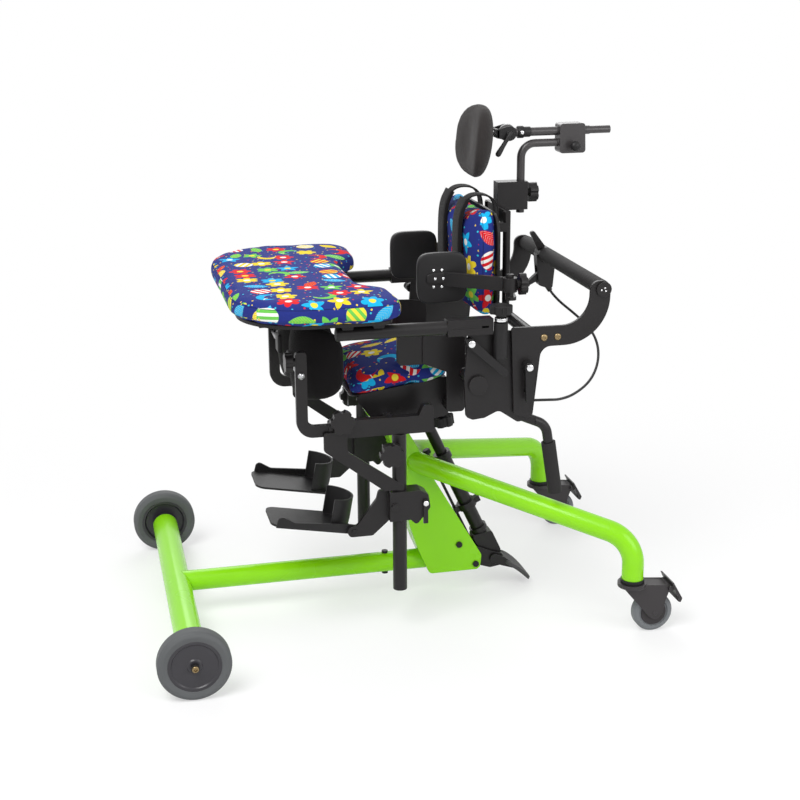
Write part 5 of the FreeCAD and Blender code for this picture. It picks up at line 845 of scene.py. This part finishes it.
def headParts():
    ballY, ballZ = headJoint["y"], headJoint["z"]
    outer = headJoint["inner"] + headJoint["thick"]
    turn = np.radians(np.linspace(-110, 110, 25))
    nose = np.stack([ballY + headJoint["cheek"] * np.cos(turn),
                     ballZ + headJoint["cheek"] * np.sin(turn)], axis=1)
    front, rear = headJoint["yoke"]
    low, high = ballZ - headJoint["half"], ballZ + headJoint["half"]
    outline = np.concatenate([nose, [(rear, high + 0.001), (front, high), (front, low), (rear, low - 0.001)]])
    for label, start in (("Left", headJoint["inner"]), ("Right", -outer)):
        cheek = platePiece("headCheek" + label, outline, start, headJoint["thick"], "blackPlastic", 0.0008)
        dress(cheek, "head_pad", "headrest_pad")
    block = platePiece("headBlock", [(front, low), (rear, low), (rear, high), (front, high)], -outer,
                       2 * outer, "blackPlastic", 0.0012)
    dress(block, "head_pad", "headrest_pad")
    stem = turnedSet("headStem", [(0, headJoint["stemStart"], ballZ - 0.002)], (0, 1, 0.1),
                     [(0, -0.003), (0.016, -0.003), (0.016, 0.001), (0.0075, 0.003), (0.0055, 0.008),
                      (0.005, 0.0155), (0, 0.0155)], "brightSteel")
    dress(stem, "head_pad", "headrest_pad")
    pin = turnedSet("headPin", [(0, ballY, ballZ)], (1, 0, 0), [
        (0, -outer - 0.003), (0.0045, -outer - 0.003), (0.0055, -outer - 0.001), (0.0055, -outer + 0.0002),
        (0.004, -outer + 0.0002), (0.004, outer - 0.0002), (0.0055, outer - 0.0002), (0.0055, outer + 0.001),
        (0.0045, outer + 0.003), (0, outer + 0.003)], "brightSteel")
    dress(pin, "head_pad", "headrest_pad")
    lever = turnedSet("headLever", [(outer + 0.0035, ballY - 0.002, ballZ - 0.003)], (0.12, -0.56, -0.82), [
        (0, -0.008), (0.004, -0.0075), (0.0052, -0.005), (0.0048, 0.004), (0.0038, 0.012), (0.0042, 0.024),
        (0.0052, 0.036), (0.005, 0.041), (0.003, 0.0438), (0, 0.0445)], "blackPlastic")
    dress(lever, "head_pad", "headrest_pad")
    collar = turnedSet("rodCollar", [(0, 0.243, ballZ)], (0, 1, 0), [
        (0.0077, 0), (0.0105, 0), (0.0112, 0.001), (0.0112, 0.0105), (0.0095, 0.012), (0.0095, 0.023),
        (0.0088, 0.0245), (0.0077, 0.0245), (0.0077, 0)], "blackPlastic")
    dress(collar, "head_rod")
    screw = turnedSet("rodScrew", [(0.0108, 0.249, ballZ)], (1, 0, 0), buttonHead(0.0038, 0.0022),
                      "brightSteel")
    dress(screw, "head_rod")
    button = turnedSet("clampButton", [(0.025, 0.346, 0.867)], (1, 0, 0), [
        (0, -0.006), (0.0042, -0.006), (0.0055, -0.003), (0.0085, 0.0), (0.0095, 0.004), (0.0085, 0.008),
        (0.005, 0.0105), (0, 0.0112)], "blackPlastic")
    dress(button, "gooseneck")


headParts()

# knee pads: a stuffed half cup, deeper forward than wide, on a block and a cross pin
knee = {"x": 0.069, "y": -0.118, "z": 0.508, "radius": 0.048, "thick": 0.032, "reach": 0.071, "span": 99.0,
        "forward": 1.3, "voxel": 0.0045, "pressure": 3.0, "cap": 0.005,
        "block": (-0.204, -0.176, 0.488, 0.524), "blockHalf": 0.017,
        "pin": (0.070, 0.173, -0.196, 0.506), "pinRadius": 0.006}


def kneePads():
    for label, side in (("Left", 1), ("Right", -1)):
        lower = "left" if side > 0 else "right"

        # a runs round the knee and b up it: the height falls with the square of a, the stuffing thins with
        # the square of b, and the front is drawn forward with the cosine of the angle
        def kneeSpot(a, b, c, side=side):
            angle = np.radians(-90 + a * knee["span"])
            z = b * knee["reach"] * (1 - 0.12 * a ** 2)
            radius = knee["radius"] + c * knee["thick"] / 2 * (1 - 0.12 * b ** 2)
            x = side * knee["x"] + radius * np.cos(angle)
            y = knee["y"] + radius * np.sin(angle) * (1 + (knee["forward"] - 1) * np.cos(np.radians(a * 90)))
            return x, y, z + knee["z"]

        cup = pillowPiece("kneeCup" + label, kneeSpot, "blackFabric", rows=32, columns=140, squareness=0.5,
                          plumpness=0.6)
        inflate(cup, knee["voxel"], knee["pressure"], knee["cap"], frames=14)
        finishPad(cup, "knee_pad_" + lower, "knee_pad_" + lower)
        front, rear, low, high = knee["block"]
        outline = [(front, low), (rear, low), (rear, high), (front, high)]
        block = platePiece("kneeBlock" + label, outline, side * knee["x"] - knee["blockHalf"],
                           2 * knee["blockHalf"], "blackPlastic", 0.003)
        dress(block, "knee_pad_" + lower, "knee_pad_" + lower)
        inner, outer, y, z = knee["pin"]
        pin = carried("kneePin" + label, [(side * inner, y, z), (side * outer, y, z)],
                      roundSection(knee["pinRadius"], 24), "zincSteel")
        dress(pin, "knee_pad_" + lower, "knee_pad_" + lower)


kneePads()
print("pads done")

# harness: padded shoulder straps down the cushion's front, narrower webbing over its top to the uprights
# behind
harness = {"x": 0.052, "width": 0.03, "thick": 0.0035, "padWidth": 0.046, "padThick": 0.009}


def harnessStraps():
    for label, side in (("Left", 1), ("Right", -1)):
        x = side * harness["x"]
        path = easedPath([(x, 0.1185, 0.598), (x, 0.1165, 0.70), (x, 0.1185, 0.765), (x, 0.134, 0.790),
                          (x, 0.166, 0.792), (x, 0.188, 0.776), (x, 0.190, 0.735)])
        strap = carried("strap" + label, path, strapSection(harness["width"], harness["thick"]), "webbing",
                        up=(0.0, -1.0, 0.25))
        dress(strap, "back_frame", "harness")
        core = easedPath([(x, 0.1165, 0.625), (x, 0.1145, 0.70), (x, 0.1165, 0.758), (x, 0.130, 0.784)])
        cover = carried("strapPad" + label, core, strapSection(harness["padWidth"], harness["padThick"]),
                        "blackFabric", up=(0.0, -1.0, 0.25))
        finishPad(cover, "back_frame", "harness")


harnessStraps()

# foot pedal: a dished spoon whose rear edge droops with the square of its reach, on two arms, all leant about
# the pin
pedal = {"pin": (0.0, 0.203, 0.062), "lean": -24.0, "half": (0.037, 0.035), "start": 0.056, "thick": 0.009,
         "droop": 0.02, "dish": 0.003}


def leant(points, degrees, pin):
    turn = math.radians(degrees)
    y, z = points[1] - pin[1], points[2] - pin[2]
    along, up = math.cos(turn), math.sin(turn)
    return points[0], pin[1] + y * along - z * up, pin[2] + y * up + z * along


def pedalSpot(a, b, c):
    x = a * pedal["half"][0] * (1 - 0.08 * b)
    y = pedal["start"] + b * pedal["half"][1]
    reach = (b + 1) / 2
    hollow = pedal["dish"] * (1 - a ** 2) * (1 - b ** 2)
    z = 0.002 + c * pedal["thick"] / 2 - pedal["droop"] * reach ** 2 - hollow
    return leant((x, y + pedal["pin"][1], z + pedal["pin"][2]), pedal["lean"], pedal["pin"])


def footPedal():
    spoon = pillowPiece("footSpoon", pedalSpot, "pedalGrey", rows=20, columns=96, squareness=0.6,
                        plumpness=0.3)
    dress(spoon, "foot_pedal", "foot_pedal")
    turn = np.radians(np.linspace(90, 270, 17))
    heel = np.stack([0.0095 * np.cos(turn), 0.0095 * np.sin(turn)], axis=1)
    outline = np.concatenate([heel, [(0.02, -0.009), (0.05, -0.006), (0.05, 0.001), (0.018, 0.009)]])
    flat = (np.zeros(len(outline)), outline[:, 0] + pedal["pin"][1], outline[:, 1] + pedal["pin"][2])
    x, y, z = leant(flat, pedal["lean"], pedal["pin"])
    for label, start in (("Left", 0.0225), ("Right", -0.0265)):
        arm = platePiece("pedalArm" + label, np.stack([y, z], axis=1), start, 0.004, "blackPaint", 0.0008)
        dress(arm, "foot_pedal", "foot_pedal")


footPedal()

# thin release rod in front of the pump, in the pump's own leaning frame: forward of its middle, from low to
# high
pumpRod = {"forward": -0.0245, "low": 0.047, "high": 0.262, "radius": 0.0028, "lean": 24.9}


def pumpRodParts():
    turn = math.radians(pumpRod["lean"])
    along = np.array((0.0, -math.sin(turn), math.cos(turn)))

    def at(height):
        upright = (0.0, pedal["pin"][1] + pumpRod["forward"], pedal["pin"][2] + height)
        return leant(upright, pumpRod["lean"], pedal["pin"])

    low, high, radius = pumpRod["low"], pumpRod["high"], pumpRod["radius"]
    rod = turnedSet("pumpRod", [at(low)], along, [(0, 0), (radius, 0), (radius, high - low), (0, high - low)],
                    "blackPaint", 20)
    dress(rod, "pump_cylinder")
    fitting = turnedSet("pumpFitting", [at(low)], along, [
        (0, -0.004), (0.0036, -0.004), (0.0036, 0.001), (0.0052, 0.0015), (0.0052, 0.008), (0.0042, 0.0085),
        (0.0042, 0.014), (0, 0.014)], "brassZinc", 12)
    dress(fitting, "pump_cylinder")
    clip = turnedSet("pumpClip", [at(high - 0.006)], along, [
        (0, 0), (0.0065, 0), (0.0075, 0.001), (0.0075, 0.008), (0.0065, 0.009), (0, 0.009)], "blackPlastic")
    dress(clip, "pump_cylinder")


pumpRodParts()

# tray rails: two plugged tubes that end under the tray's middle, with saddles up to the board
rails = {"x": 0.222, "z": 0.590, "radius": 0.012, "wall": 0.002, "ease": 0.0005, "front": -0.142,
         "rear": 0.112, "saddles": (-0.124, -0.070), "foot": 0.5985, "board": 0.611, "saddleHalf": 0.012}


def trayRails():
    radius, inner = rails["radius"], rails["radius"] - rails["wall"]
    length = rails["rear"] - rails["front"]
    ease = rails["ease"]
    wall = [(inner, 0), (radius - ease, 0), (radius, ease), (radius, length - ease), (radius - ease, length),
            (inner, length), (inner, 0)]
    plug = [(0, -0.003), (inner * 0.6, -0.0026), (radius - 0.001, -0.0012), (radius - 0.0006, 0), (inner, 0),
            (inner, 0.012), (0, 0.012)]
    for label, side in (("Left", 1), ("Right", -1)):
        front = (side * rails["x"], rails["front"], rails["z"])
        tube = turnedSet("trayRail" + label, [front], (0, 1, 0), wall, "blackPaint", 48)
        dress(tube, "tray", "tray_rails")
        end = turnedSet("railPlug" + label, [front], (0, 1, 0), plug, "blackPlastic", 36)
        dress(end, "tray", "tray_rails")
        for place, y in enumerate(rails["saddles"]):
            outline = [(y - 0.013, rails["board"]), (y + 0.013, rails["board"]), (y + 0.009, rails["foot"]),
                       (y - 0.009, rails["foot"])]
            start, thick = side * rails["x"] - rails["saddleHalf"], 2 * rails["saddleHalf"]
            saddle = platePiece("saddle%s%d" % (label, place), outline, start, thick, "blackPlastic", 0.0015)
            dress(saddle, "tray", "tray_rails")


trayRails()

# lateral supports: a moulded rounded shell round each plate, an oblong boss under the arm's end and small
# screws
lateral = {"middle": (0.1074, 0.072, 0.653), "half": 0.0458, "thick": 0.0138, "boss": (0.026, 0.0105, 0.006),
           "screws": [(0.056, 0.638), (0.071, 0.638), (0.056, 0.668), (0.071, 0.668), (0.058, 0.653),
                      (0.073, 0.653)]}


def lateralShells():
    for label, side in (("Left", 1), ("Right", -1)):
        lower = "left" if side > 0 else "right"
        x, y, z = lateral["middle"]
        half, thick = lateral["half"], lateral["thick"]
        wide, tall, deep = lateral["boss"]

        def shellSpot(a, b, c, side=side):
            return side * (x + c * thick / 2), y + a * half, z + b * half

        def bossSpot(a, b, c, side=side):
            return side * (x + thick / 2 + c * deep / 2), y - 0.004 + a * wide, z + b * tall

        shell = pillowPiece("lateralShell" + label, shellSpot, "blackPlastic", rows=28, columns=112,
                            squareness=0.42, plumpness=0.26)
        dress(shell, "lateral_" + lower)
        boss = pillowPiece("lateralBoss" + label, bossSpot, "blackPaint", rows=20, columns=72,
                           squareness=0.6, plumpness=0.3)
        dress(boss, "lateral_" + lower)
        # the two screws at the middle's height stand on the boss, the others on the shell
        places = [(side * (x + thick / 2 + (deep / 2 if height == z else 0.0)), along, height)
                  for along, height in lateral["screws"]]
        screws = turnedSet("lateralScrews" + label, places, (side, 0, 0), buttonHead(0.0027, 0.0012),
                           "brightSteel", 20)
        dress(screws, "lateral_" + lower)


lateralShells()

# small metal on both sides: what it is, its body (a star stands for the side), its finish and profile, its
# places on the left, and 0 or 2 for an axis along x or z
smallMetal = (
    ("armBolt", "back_frame", "brassZinc", buttonHead(0.0064, 0.0028),
     [(0.227, 0.227, 0.562), (0.227, 0.252, 0.562)], 0),
    ("trayLeverDisc", "back_base", "brightSteel", discHead(0.0062, 0.0022), [(0.240, 0.092, 0.562)], 0),
    ("slotLeverDisc", "slot_lever_*", "brightSteel", discHead(0.006, 0.0022), [(0.246, 0.196, 0.514)], 0),
    ("barCapScrew", "back_frame", "brightSteel", buttonHead(0.0017, 0.0009),
     [(0.231, 0.3296, 0.6418), (0.231, 0.3356, 0.6452), (0.231, 0.3376, 0.6398)], 0),
    ("postRing", "back_base", "brightSteel",
     [(0.0072, 0), (0.0109, 0), (0.0112, 0.001), (0.0112, 0.0045), (0.0108, 0.0055), (0.0072, 0.0055),
      (0.0072, 0)], [(0.232, 0.146, 0.5985)], 2),
    ("carrierDisc", "foot_carrier_*", "brightSteel", discHead(0.005, 0.0022), [(0.188, 0.023, 0.2555)], 0),
    ("axleSleeve", "base", "brassZinc",
     [(0, -0.0005), (0.0058, -0.0005), (0.0058, 0.0032), (0.005, 0.004), (0.0034, 0.004), (0.0031, 0.0006),
      (0, 0.0005)], [(0.3583, -0.418, 0.0635)], 0),
)


def metalBits():
    for what, body, finish, profile, places, axis in smallMetal:
        for label, side in (("Left", 1), ("Right", -1)):
            spots = [(side * x, y, z) for x, y, z in places]
            direction = (side, 0, 0) if axis == 0 else (0, 0, 1)
            piece = turnedSet(what + label, spots, direction, profile, finish)
            dress(piece, body.replace("*", label.lower()))


metalBits()
print("small parts done")
